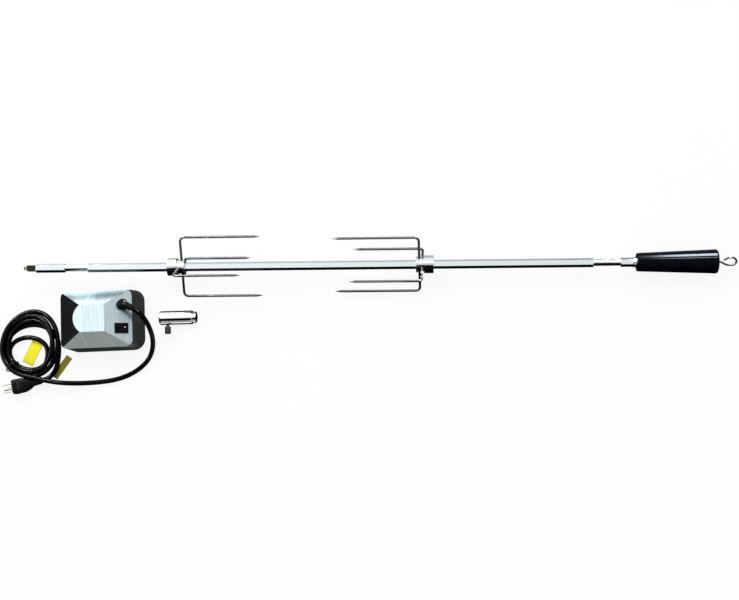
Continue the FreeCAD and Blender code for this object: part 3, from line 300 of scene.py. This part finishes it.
def make_brushing_group():
    """Streaks: noise whose X and Y coordinates are squeezed, so that it draws out along them."""
    tree, given, result = shader_group(
        "brushing",
        [("Scale", 900.0), ("Along X", 0.03), ("Along Y", 1.0), ("Along Z", 1.0), ("Low", 0.2), ("High", 0.4)],
        ["Streaks", "Roughness"],
    )
    place = tree.nodes.new("ShaderNodeTexCoord")
    squeeze = tree.nodes.new("ShaderNodeCombineXYZ")
    scaled = tree.nodes.new("ShaderNodeVectorMath")
    scaled.operation = "MULTIPLY"
    noise = tree.nodes.new("ShaderNodeTexNoise")
    noise.inputs["Detail"].default_value = 3.0
    spread = tree.nodes.new("ShaderNodeMapRange")
    for axis, label in enumerate(("Along X", "Along Y", "Along Z")):
        tree.links.new(given.outputs[label], squeeze.inputs[axis])
    tree.links.new(place.outputs["Object"], scaled.inputs[0])
    tree.links.new(squeeze.outputs[0], scaled.inputs[1])
    tree.links.new(scaled.outputs[0], noise.inputs["Vector"])
    tree.links.new(given.outputs["Scale"], noise.inputs["Scale"])
    tree.links.new(noise.outputs[0], spread.inputs["Value"])
    tree.links.new(given.outputs["Low"], spread.inputs["To Min"])
    tree.links.new(given.outputs["High"], spread.inputs["To Max"])
    tree.links.new(noise.outputs[0], result.inputs["Streaks"])
    tree.links.new(spread.outputs[0], result.inputs["Roughness"])
    return tree


def make_grain_group():
    """Fine even grain, and slow patches that change it, as moulded or handled surfaces have."""
    tree, given, result = shader_group(
        "grain", [("Grain Scale", 1400.0), ("Patch Scale", 25.0), ("Low", 0.3), ("High", 0.5)],
        ["Grain", "Patches", "Roughness"],
    )
    place = tree.nodes.new("ShaderNodeTexCoord")
    fine = tree.nodes.new("ShaderNodeTexNoise")
    slow = tree.nodes.new("ShaderNodeTexNoise")
    slow.inputs["Detail"].default_value = 4.0
    spread = tree.nodes.new("ShaderNodeMapRange")
    spread.inputs["From Min"].default_value = 0.3
    spread.inputs["From Max"].default_value = 0.7
    for texture, scale in ((fine, "Grain Scale"), (slow, "Patch Scale")):
        tree.links.new(place.outputs["Object"], texture.inputs["Vector"])
        tree.links.new(given.outputs[scale], texture.inputs["Scale"])
    tree.links.new(slow.outputs[0], spread.inputs["Value"])
    tree.links.new(given.outputs["Low"], spread.inputs["To Min"])
    tree.links.new(given.outputs["High"], spread.inputs["To Max"])
    tree.links.new(fine.outputs[0], result.inputs["Grain"])
    tree.links.new(slow.outputs[0], result.inputs["Patches"])
    tree.links.new(spread.outputs[0], result.inputs["Roughness"])
    return tree


BRUSHING = make_brushing_group()
GRAIN = make_grain_group()


def new_finish(name, group, settings):
    """Material with a Principled shader and one placed group with its own values."""
    material = bpy.data.materials.new(name)
    tree, output = node_tree(material)
    shader = tree.nodes.new("ShaderNodeBsdfPrincipled")
    tree.links.new(shader.outputs[0], output.inputs["Surface"])
    placed = tree.nodes.new("ShaderNodeGroup")
    placed.node_tree = group
    for label, number in settings.items():
        placed.inputs[label].default_value = number
    tree.links.new(placed.outputs["Roughness"], shader.inputs["Roughness"])
    return material, tree, shader, placed


def tinted(tree, shader, mask, low, high):
    """Base colour that moves between two colours with a mask."""
    ramp = tree.nodes.new("ShaderNodeValToRGB")
    ramp.color_ramp.elements[0].color = (*low, 1)
    ramp.color_ramp.elements[1].color = (*high, 1)
    ramp.color_ramp.elements[0].position = 0.3
    ramp.color_ramp.elements[1].position = 0.7
    tree.links.new(mask, ramp.inputs[0])
    tree.links.new(ramp.outputs[0], shader.inputs["Base Color"])
    return ramp


def bumped(tree, shader, height, strength, distance):
    """Surface relief from a height mask."""
    bump = tree.nodes.new("ShaderNodeBump")
    bump.inputs["Strength"].default_value = strength
    bump.inputs["Distance"].default_value = distance
    tree.links.new(height, bump.inputs["Height"])
    tree.links.new(bump.outputs[0], shader.inputs["Normal"])


# %% [markdown]
# The finishes of the real kit: plated bright steel on the bar, prongs and bushing, brushed
# stainless sheet on the pyramid, plain turned steel on hubs and hidden pieces, satin dark paint on
# the housing, glossy black lacquer on the handle, and soft black plastic on the cord and plug.
# The prongs and the hanging eye have their plated steel coloured near black: painted shade for
# the dark surroundings that they reflect.

# %% Finishes
def steel_finish(name, low, high, roughness, scale=500.0, along=(1.0, 1.0, 1.0), relief=0.05):
    """Metal with a colour range, a roughness range and brushing drawn out where along is small."""
    material, tree, shader, placed = new_finish(name, BRUSHING, {
        "Scale": scale, "Along X": along[0], "Along Y": along[1], "Along Z": along[2],
        "Low": roughness[0], "High": roughness[1],
    })
    shader.inputs["Metallic"].default_value = 1.0
    tinted(tree, shader, placed.outputs["Streaks"], low, high)
    bumped(tree, shader, placed.outputs["Streaks"], relief, 0.0002)
    return material


def plastic_finish(name, low, high, roughness, specular, relief=0.2, grain=1200.0):
    """Plastic, lacquer, rubber, paint or paper with fine grain and slow patches."""
    material, tree, shader, placed = new_finish(
        name, GRAIN, {"Grain Scale": grain, "Patch Scale": 30.0, "Low": roughness[0], "High": roughness[1]}
    )
    shader.inputs["Specular IOR Level"].default_value = specular
    tinted(tree, shader, placed.outputs["Patches"], low, high)
    bumped(tree, shader, placed.outputs["Grain"], relief, 0.0002)
    return material


def rod_finish(tip_end, change=0.0006):
    """Bright bar whose square drive tip, before tip_end along X, is darkened by heat and oxide."""
    material, tree, shader, placed = new_finish(
        "bar_steel", BRUSHING, {"Scale": 700.0, "Along X": 0.02, "Along Y": 1.0, "Low": 0.12, "High": 0.22}
    )
    shader.inputs["Metallic"].default_value = 1.0
    place = tree.nodes.new("ShaderNodeTexCoord")
    split = tree.nodes.new("ShaderNodeSeparateXYZ")
    past_tip = tree.nodes.new("ShaderNodeMapRange")
    past_tip.inputs["From Min"].default_value = tip_end - change
    past_tip.inputs["From Max"].default_value = tip_end + change
    tree.links.new(place.outputs["Object"], split.inputs[0])
    tree.links.new(split.outputs["X"], past_tip.inputs["Value"])
    mix = tree.nodes.new("ShaderNodeMix")
    mix.data_type = "RGBA"
    mix.inputs[6].default_value = (0.03, 0.028, 0.026, 1)
    mix.inputs[7].default_value = (0.76, 0.8, 0.83, 1)
    tree.links.new(past_tip.outputs["Result"], mix.inputs[0])
    tree.links.new(mix.outputs[2], shader.inputs["Base Color"])
    bumped(tree, shader, placed.outputs["Streaks"], 0.02, 0.0002)
    return material


def grey(value, tint=0.01):
    """Neutral metal colour with a little blue."""
    return (value, value, value + tint)


FINISHES = {
    "bar_steel": rod_finish(rod_low[0] + 21.2 * MM),
    # Plated steel coloured near black for the prongs and the hanging eye: painted shade standing in for the dark
    # surroundings that they reflect.
    "plated_steel_painted_dark": steel_finish("plated_steel_painted_dark", grey(0.1), grey(0.17), (0.18, 0.28)),
    "bright_steel": steel_finish("bright_steel", grey(0.55), grey(0.65), (0.1, 0.18)),
    "polished_sleeve": steel_finish("polished_sleeve", grey(0.85), grey(0.95), (0.04, 0.08), 400.0, relief=0.01),
    "brushed_sheet": steel_finish(
        "brushed_sheet", (0.57, 0.68, 0.73), (0.7, 0.81, 0.86), (0.22, 0.3), 420.0, (1.0, 0.05, 0.05), 0.03
    ),
    "hub_steel": steel_finish("hub_steel", grey(0.62), grey(0.78), (0.1, 0.16)),
    "turned_steel": steel_finish("turned_steel", grey(0.3), grey(0.42), (0.25, 0.4)),
    "screw_steel": steel_finish("screw_steel", grey(0.04), grey(0.08), (0.25, 0.35)),
    "pale_blades": steel_finish("pale_blades", (0.6, 0.58, 0.5), (0.75, 0.72, 0.64), (0.2, 0.3)),
    "brass_bush": steel_finish("brass_bush", (0.6, 0.42, 0.18), (0.7, 0.5, 0.24), (0.25, 0.4)),
    "copper_winding": steel_finish(
        "copper_winding", (0.45, 0.16, 0.07), (0.6, 0.24, 0.1), (0.3, 0.5), 900.0, (0.02, 1.0, 1.0), 0.6
    ),
    "housing_paint": plastic_finish("housing_paint", (0.032, 0.036, 0.032), (0.045, 0.05, 0.045), (0.4, 0.55), 0.3),
    "cap_plastic": plastic_finish("cap_plastic", (0.002, 0.003, 0.003), (0.005, 0.006, 0.006), (0.4, 0.5), 0.05),
    "handle_lacquer": plastic_finish(
        "handle_lacquer", (0.0006, 0.0008, 0.002), (0.001, 0.0013, 0.003), (0.09, 0.13), 0.06, 0.03, 300.0
    ),
    "black_fittings": plastic_finish("black_fittings", (0.002, 0.002, 0.003), (0.004, 0.004, 0.005), (0.3, 0.4), 0.07),
    "cord_sheath": plastic_finish("cord_sheath", (0.001, 0.001, 0.002), (0.002, 0.002, 0.003), (0.14, 0.2), 0.07, 0.1),
    "tag_paper": plastic_finish("tag_paper", (0.98, 0.86, 0.002), (1.0, 0.92, 0.006), (0.5, 0.65), 0.2),
    "tag_paper_dull": plastic_finish("tag_paper_dull", (0.17, 0.15, 0.008), (0.3, 0.27, 0.014), (0.4, 0.55), 0.15),
}
# The handle's reflections are tinted pale blue: painted colour of cool light in its highlights.
FINISHES["handle_lacquer"].node_tree.nodes["Principled BSDF"].inputs["Specular Tint"].default_value = (
    0.72, 0.84, 1.0, 1
)
finish_of_node = {
    "spit_rod": "bar_steel", "handle_grip": "handle_lacquer", "handle_ferrule": "bright_steel",
    "hanging_eye": "plated_steel_painted_dark", "bushing_sleeve": "polished_sleeve", "steel_cover": "brushed_sheet",
    "housing": "housing_paint", "end_cap": "cap_plastic", "gland_body": "black_fittings",
    "gland_nut": "black_fittings", "switch_body": "black_fittings", "switch_rocker": "black_fittings",
    "switch_terminals": "brass_bush", "drive_bush": "brass_bush", "field_coil": "copper_winding",
    "plug_blades": "pale_blades", "bushing_screw": "screw_steel",
}
for side in ("left", "right"):
    finish_of_node[f"{side}_fork_screw"] = "screw_steel"
    for kind in ("hub", "plate"):
        finish_of_node[f"{side}_fork_{kind}"] = "hub_steel"
    for kind in ("long", "short"):
        finish_of_node[f"{side}_fork_{kind}_prongs"] = "plated_steel_painted_dark"
print("finishes", len(FINISHES))


def dress(piece, finish):
    """Give a piece one finish."""
    piece.data.materials.clear()
    piece.data.materials.append(FINISHES[finish])


for node, piece in nodes.items():
    dress(piece, finish_of_node.get(node, "turned_steel"))


# %% [markdown]
# A sheet-metal or moulded edge is never knife sharp: it catches a thin line of light. The frame's
# own meshes stay as they are, so each visible sharp-edged piece gets a merged copy with a small
# bevel, and the copy stands for the node.

# %% Softened copies of frame pieces
def add_piece(name, mesh, finish, node):
    """Link a new piece that stands for a frame node and rides on its body."""
    piece = link(bpy.data.objects.new(name, mesh))
    dress(piece, finish)
    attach(piece, body_of_node[node])
    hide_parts(node)
    return piece


def softened(node, width, segments=2):
    """Copy of a node with merged corners, flat faces joined and its sharp edges bevelled."""
    import bmesh
    mesh = nodes[node].data.copy()
    work = bmesh.new()
    work.from_mesh(mesh)
    bmesh.ops.remove_doubles(work, verts=work.verts, dist=0.00002)
    bmesh.ops.dissolve_limit(work, angle_limit=math.radians(0.6), verts=work.verts, edges=work.edges)
    work.to_mesh(mesh)
    work.free()
    for layer in list(mesh.attributes):
        if layer.name in ("custom_normal", "sharp_edge", "sharp_face"):
            mesh.attributes.remove(layer)
    mesh.name = node + "_soft"
    mesh.polygons.foreach_set("use_smooth", np.ones(len(mesh.polygons), dtype=bool))
    piece = add_piece(node + "_finished", mesh, finish_of_node.get(node, "turned_steel"), node)
    bevel = piece.modifiers.new("edge", "BEVEL")
    bevel.width = width
    bevel.segments = segments
    bevel.limit_method = "ANGLE"
    bevel.angle_limit = math.radians(28)
    bevel.harden_normals = True
    return piece


EDGE_WIDTHS = {
    "spit_rod": 0.35, "steel_cover": 0.9, "end_cap": 0.6, "housing": 0.8, "handle_grip": 0.5,
    "bushing_sleeve": 0.3, "switch_body": 0.4, "switch_rocker": 0.4, "handle_ferrule": 0.3,
    "left_fork_hub": 0.4, "left_fork_plate": 0.4, "right_fork_hub": 0.4, "right_fork_plate": 0.4,
}
for node, width in EDGE_WIDTHS.items():
    piece = softened(node, width * MM)
    print(node, "softened,", len(piece.data.polygons), "faces before its bevel")

# %% [markdown]
# A thumbscrew's head is knurled so that fingers grip it. The surface is a profile turned about the
# screw's axis, with its radius waved around the turn where the knurl is. One function makes the
# shape for every screw, and each is laid along its own direction.

# %% Surfaces from grids
def grid_mesh(name, points, close_ends=True):
    """Mesh of a closed-round grid (stations by turns), with its two ends closed by fans."""
    stations, turns, _ = points.shape
    index = np.arange(stations * turns).reshape(stations, turns)
    nxt = np.roll(index, -1, axis=1)
    faces = np.stack([index[:-1], nxt[:-1], nxt[1:], index[1:]], axis=-1).reshape(-1, 4).tolist()
    vertices = points.reshape(-1, 3).tolist()
    if close_ends:
        for row, flip in ((index[0], True), (index[-1], False)):
            centre = len(vertices)
            vertices.append(points.reshape(-1, 3)[row].mean(axis=0).tolist())
            for here, there in zip(row, np.roll(row, -1)):
                faces.append((int(there), int(here), centre) if flip else (int(here), int(there), centre))
    mesh = bpy.data.meshes.new(name)
    mesh.from_pydata(vertices, [], faces)
    mesh.polygons.foreach_set("use_smooth", np.ones(len(mesh.polygons), dtype=bool))
    return mesh


def turned_points(stations, radii, knurl, turns=96, teeth=24, depth=0.05):
    """radius(station, angle) = profile radius times (1 - depth * knurl * (1 + cos(teeth * angle)) / 2)."""
    angles = np.linspace(0, 2 * np.pi, turns, endpoint=False)
    wave = (1 + np.cos(teeth * angles)) / 2
    radius = np.asarray(radii)[:, None] * (1 - depth * np.asarray(knurl)[:, None] * wave[None, :])
    along = np.broadcast_to(np.asarray(stations)[:, None], radius.shape)
    return np.stack([radius * np.cos(angles), radius * np.sin(angles), along], axis=-1)


def laid(points, origin, direction):
    """Points made along Z, laid along a direction from an origin."""
    turn = np.array(Vector((0, 0, 1)).rotation_difference(Vector(direction)).to_matrix())
    return points @ turn.T + np.asarray(origin)


def thumbscrew(node, seat, direction, thread, neck, head, head_length):
    """Shank, neck and knurled head with rounded rims, from the thread's inner end outwards."""
    rim = 0.7
    profile = [
        (0, 0.35 * thread, 0), (0.6, thread / 2, 0), (neck, thread / 2, 0), (neck, head / 2 - rim, 0),
        (neck + 0.2 * rim, head / 2 - 0.3 * rim, 0.3), (neck + rim, head / 2, 1),
        (neck + head_length - rim, head / 2, 1), (neck + head_length - 0.2 * rim, head / 2 - 0.3 * rim, 0.3),
        (neck + head_length, head / 2 - rim, 0), (neck + head_length, 0.28 * head, 0),
        (neck + head_length - 0.5, 0.24 * head, 0),
    ]
    stations, radii, knurl = (np.array(column, dtype=float) for column in zip(*profile))
    points = laid(turned_points(stations * MM, radii * MM, knurl), seat, direction)
    return add_piece(node + "_knurled", grid_mesh(node + "_knurled", points), "screw_steel", node)


joint_named = {joint["name"]: joint for joint in frame["joints"]}


def screw_from_joint(node, joint_name, inner, thread, neck, head, head_length):
    """Thumbscrew placed by its own joint: the axis passes through the seat."""
    joint = joint_named[joint_name]
    axis = np.array(joint["axis"], dtype=float)
    axis /= np.linalg.norm(axis)
    seat = np.array(joint["pos_m"], dtype=float) + axis * inner * MM
    return thumbscrew(node, seat, axis, thread, neck, head, head_length)


screw_from_joint("bushing_screw", "bushing_clamp_turn", 7.55, 5.0, 6.95, 10.0, 12.0)
for side in ("left", "right"):
    screw_from_joint(f"{side}_fork_screw", f"{side}_clamp_turn", 6.4, 6.0, 10.85, 14.0, 11.0)
print("three knurled screws")

# %% [markdown]
# The rocker's raised half carries a small pale dot that marks the on side. It is a low dome turned
# about the rocker's own surface, set out from the rocker's axle.

# %% The dot on the rocker
FACET_ANGLE = math.atan2(30.0, 37.2)
MOTOR_TURN = math.radians(2.0)
facing = Vector((math.cos(MOTOR_TURN), math.sin(MOTOR_TURN), 0))
facet_normal = facing * math.sin(FACET_ANGLE) + Vector((0, 0, math.cos(FACET_ANGLE)))
down_slope = facing * math.cos(FACET_ANGLE) - Vector((0, 0, math.sin(FACET_ANGLE)))
rocker_joint = joint_named["rocker_tilt"]
axle = Vector(rocker_joint["pos_m"])
dot_seat = axle + facet_normal * 7.85 * MM + down_slope * 4.6 * MM + Vector(rocker_joint["axis"]) * 1.2 * MM
dot_normal = facet_normal - down_slope * 0.27
dome = turned_points(np.array([0.0, 0.25, 0.4]) * MM, np.array([1.15, 1.0, 0.4]) * MM, np.zeros(3), 32)
dot_mesh = grid_mesh("rocker_dot", laid(dome, dot_seat, dot_normal))
rocker_dot = link(bpy.data.objects.new("rocker_dot", dot_mesh))
FINISHES["pale_mark"] = plastic_finish("pale_mark", (0.6, 0.6, 0.6), (0.75, 0.75, 0.75), (0.4, 0.5), 0.4)
dress(rocker_dot, "pale_mark")
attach(rocker_dot, "rocker")
print("rocker dot at", [round(number, 4) for number in dot_seat])

# %% [markdown]
# The mains lead is one cord from the gland to the plug: down over the motor unit's edge, round
# the front of it, about five loose turns, and back into the plug. A NURBS curve through a few
# listed control points gives the lie of the free stretches. The turns are quarter ovals
# between their outermost points, which drift and stack as loose turns do.

# %% The mains lead
CORD_DIAMETER = 0.008
joint_free_exit = (-391.88, -23.49, 69.84)
LEAD = [
    joint_free_exit,
    (-380.0, -30.5, 68.2),
    (-371.5, -42.0, 60.0),
    (-367.5, -56.0, 45.5),
    (-367.5, -71.0, 28.0),
    (-371.5, -87.5, 12.5),
    (-380.0, -104.5, 4.3),
    (-394.5, -119.5, 4.1),
    (-414.5, -131.5, 4.1),
    (-440.0, -139.5, 4.3),
    (-468.0, -143.0, 7.5),
    (-496.0, -144.5, 14.0),
    (-522.0, -144.0, 20.0),
    (-546.0, -141.0, 21.0),
]
TAIL = [
    (-536.0, -104.0, 4.7),
    (-538.5, -116.0, 4.7),
    (-543.0, -126.5, 5.0),
    (-550.5, -135.5, 8.2),
    (-562.7, -140.7, 12.0),
]
# Outermost points of the turns, in the order bottom, left, top, right, one turn to a row.
TURN_LIMITS = [
    (-580.0, -133.0, 19.5), (-629.5, -84.0, 19.5), (-580.0, -22.0, 5.0), (-534.0, -78.0, 12.5),
    (-578.0, -133.0, 12.0), (-629.5, -86.0, 11.8), (-580.0, -29.8, 11.0), (-541.0, -78.0, 20.0),
    (-579.0, -125.5, 14.0), (-621.5, -86.0, 13.2), (-580.0, -37.6, 10.5), (-543.0, -80.0, 12.3),
    (-580.0, -122.0, 6.0), (-621.5, -90.0, 5.0), (-588.0, -66.5, 6.0), (-554.0, -92.0, 5.0),
    (-578.0, -129.5, 4.2), (-628.5, -86.0, 4.2), (-580.0, -44.8, 4.4), (-535.0, -82.0, 4.6),
]


def coil_points(limits, steps=4):
    """Quarter ovals: one coordinate follows 1 - cos and the other sin, swapping each quarter."""
    points = [np.array(limits[0])]
    for quarter, (start, end) in enumerate(zip(limits, limits[1:])):
        start, end = np.array(start), np.array(end)
        angles = np.linspace(0, np.pi / 2, steps + 1)[1:]
        fast, slow = np.sin(angles), 1 - np.cos(angles)
        x_share, y_share = (fast, slow) if quarter % 2 == 0 else (slow, fast)
        rise = (1 - np.cos(2 * angles)) / 2
        for along_x, along_y, along_z in zip(x_share, y_share, rise):
            share = np.array([along_x, along_y, along_z])
            points.append(start + (end - start) * share)
    return points


def cord_curve(name, points, diameter):
    """Open NURBS curve through millimetre points, with a round section."""
    data = bpy.data.curves.new(name, "CURVE")
    data.dimensions = "3D"
    data.bevel_depth = diameter / 2
    data.bevel_resolution = 6
    data.resolution_u = 6
    data.use_fill_caps = True
    spline = data.splines.new("NURBS")
    spline.points.add(len(points) - 1)
    flat = np.ones((len(points), 4))
    flat[:, :3] = np.array(points) * MM
    spline.points.foreach_set("co", flat.ravel())
    spline.order_u = 3
    spline.use_endpoint_u = True
    return link(bpy.data.objects.new(name, data))


route = LEAD + coil_points(TURN_LIMITS) + TAIL
cord = cord_curve("mains_lead", route, CORD_DIAMETER)
dress(cord, "cord_sheath")
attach(cord, "motor_unit")
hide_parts("cord_lead", "cord_tail", "cord_coil")


def line_of(curve):
    """Points along a curve's own centre line."""
    bare = curve.data.copy()
    bare.bevel_depth = 0.0
    carrier = bpy.data.objects.new("centre_line", bare)
    link(carrier)
    bpy.context.view_layer.update()
    mesh = bpy.data.meshes.new_from_object(carrier.evaluated_get(bpy.context.evaluated_depsgraph_get()))
    line = np.zeros(len(mesh.vertices) * 3)
    mesh.vertices.foreach_get("co", line)
    bpy.data.objects.remove(carrier)
    bpy.data.meshes.remove(mesh)
    return line.reshape(-1, 3)


cord_line = line_of(cord)

# %% [markdown]
# The plug is a moulded block that narrows to a ribbed strain relief. It is one surface: a rounded
# rectangle whose two half-widths follow a profile, and whose corners grow rounder towards the
# tail, with ribs as a wave of the radius there.

# %% The plug
PLUG_FACE = np.array([-609.0, -150.5, 12.0]) * MM
PLUG_TURN = math.radians(12.0)


def plug_points(stations, half_width, half_height, squareness, turns=64):
    """Superellipse sections: |cos|^(2/n) by |sin|^(2/n), with exponent n from squareness."""
    angles = np.linspace(0, 2 * np.pi, turns, endpoint=False)
    power = 2 / np.asarray(squareness)[:, None]
    across = np.sign(np.cos(angles)) * np.abs(np.cos(angles)) ** power
    upward = np.sign(np.sin(angles)) * np.abs(np.sin(angles)) ** power
    wide = np.asarray(half_width)[:, None] * across
    tall = np.asarray(half_height)[:, None] * upward
    along = np.broadcast_to(np.asarray(stations)[:, None], wide.shape)
    return np.stack([along, -wide, tall], axis=-1)


body_profile = [
    (0.0, 11.2, 10.6, 5.0), (0.5, 12.2, 11.6, 5.0), (2.0, 12.5, 12.0, 5.0), (8.0, 12.4, 11.9, 5.0),
    (9.0, 11.7, 11.3, 5.0), (10.0, 11.7, 11.3, 5.0), (11.0, 12.3, 11.8, 5.0), (18.0, 12.0, 11.5, 4.6),
    (24.0, 10.4, 9.9, 4.0), (29.0, 8.4, 7.9, 3.4), (32.0, 7.2, 6.9, 2.6), (33.0, 6.0, 6.0, 2.0),
]
rib_stations = np.linspace(33.3, 47.6, 60)
rib_phase = (rib_stations - 33.3) / 2.86 * 2 * np.pi
rib_radius = 6.1 - (rib_stations - 33.3) * 0.08 - 0.55 * (1 - np.cos(rib_phase)) / 2
relief_profile = [(station, radius, radius, 2.0) for station, radius in zip(rib_stations, rib_radius)]
columns = [np.array(column) for column in zip(*(body_profile + relief_profile))]
plug_grid = plug_points(columns[0] * MM, columns[1] * MM, columns[2] * MM, columns[3])
plug_spin = np.array(Matrix.Rotation(PLUG_TURN, 3, "Z"))
plug_grid = plug_grid @ plug_spin.T + PLUG_FACE
plug = add_piece("plug_moulded", grid_mesh("plug_moulded", plug_grid), "black_fittings", "plug_body")
print("plug turned by degrees", round(math.degrees(PLUG_TURN)))

# %% [markdown]
# Two bare tags hang on the cord. Paper that has been handled isn't flat: it bows a little. Each tag
# is a grid lifted by a gentle wave and given its thickness afterwards.

# %% Tags and tie
def tag_sheet(name, node, centre, length, width, turn, bow, finish):
    """z = bow * (1 - (2u)^2) + a small ripple along the tag, on a grid over its length and width."""
    along, over = np.meshgrid(np.linspace(-0.5, 0.5, 25), np.linspace(-0.5, 0.5, 11), indexing="ij")
    lift = bow * (1 - (2 * along) ** 2) + 0.12 * bow * np.sin(7 * along + 3 * over)
    flat = np.stack([along * length, over * width, lift], axis=-1).reshape(-1, 3)
    cosine, sine = math.cos(math.radians(turn)), math.sin(math.radians(turn))
    turned = flat @ np.array([[cosine, sine, 0], [-sine, cosine, 0], [0, 0, 1]])
    index = np.arange(25 * 11).reshape(25, 11)
    faces = np.stack([index[:-1, :-1], index[1:, :-1], index[1:, 1:], index[:-1, 1:]], axis=-1).reshape(-1, 4)
    mesh = bpy.data.meshes.new(name)
    mesh.from_pydata(((turned + np.array(centre)) * MM).tolist(), [], faces.tolist())
    mesh.polygons.foreach_set("use_smooth", np.ones(len(mesh.polygons), dtype=bool))
    piece = add_piece(name, mesh, finish, node)
    paper = piece.modifiers.new("paper", "SOLIDIFY")
    paper.thickness = 0.0004
    return piece


tag_a = tag_sheet("inner_paper_tag", "tag_inner", (-582, -92, 0.4), 42, 20, 64, 1.2, "tag_paper")
tag_b = tag_sheet("outer_paper_tag", "tag_outer", (-531, -117, 0.2), 43, 11.5, 54, 0.2, "tag_paper_dull")


def tie_points(centre, turn, half_across, height, wire, turns=12, steps=48):
    """Rounded loop round the strands: a superellipse path carrying a flat oval section."""
    path_angle = np.linspace(0, 2 * np.pi, steps, endpoint=False)
    across = half_across * np.sign(np.cos(path_angle)) * np.abs(np.cos(path_angle)) ** 0.6
    upward = height / 2 * (1 + np.sign(np.sin(path_angle)) * np.abs(np.sin(path_angle)) ** 0.6)
    path = np.stack([np.zeros(steps), across, upward], axis=-1)
    outward = path - np.array([0, 0, height / 2])
    outward /= np.linalg.norm(outward, axis=1, keepdims=True)
    section = np.linspace(0, 2 * np.pi, turns, endpoint=False)
    thick = 0.5 * wire * np.cos(section)
    wide = 1.3 * wire * np.sin(section)
    grid = path[:, None, :] + outward[:, None, :] * thick[None, :, None]
    grid = grid + np.array([1.0, 0, 0]) * wide[None, :, None]
    cosine, sine = math.cos(math.radians(turn)), math.sin(math.radians(turn))
    spun = grid @ np.array([[cosine, sine, 0], [-sine, cosine, 0], [0, 0, 1]])
    return (spun + np.array(centre)) * MM


def ring_mesh(name, points):
    """Mesh of a grid that closes on itself both ways."""
    steps, turns, _ = points.shape
    index = np.arange(steps * turns).reshape(steps, turns)
    side = np.roll(index, -1, axis=1)
    ahead = np.roll(index, -1, axis=0)
    both = np.roll(side, -1, axis=0)
    faces = np.stack([index, ahead, both, side], axis=-1).reshape(-1, 4)
    mesh = bpy.data.meshes.new(name)
    mesh.from_pydata(points.reshape(-1, 3).tolist(), [], faces.tolist())
    mesh.polygons.foreach_set("use_smooth", np.ones(len(mesh.polygons), dtype=bool))
    return mesh


tie_grid = tie_points((-612.2, -115.6, 0.8), -44, 11.0, 24.2, 1.0)
tie = add_piece("wrapped_tie", ring_mesh("wrapped_tie", tie_grid), "black_fittings", "coil_tie")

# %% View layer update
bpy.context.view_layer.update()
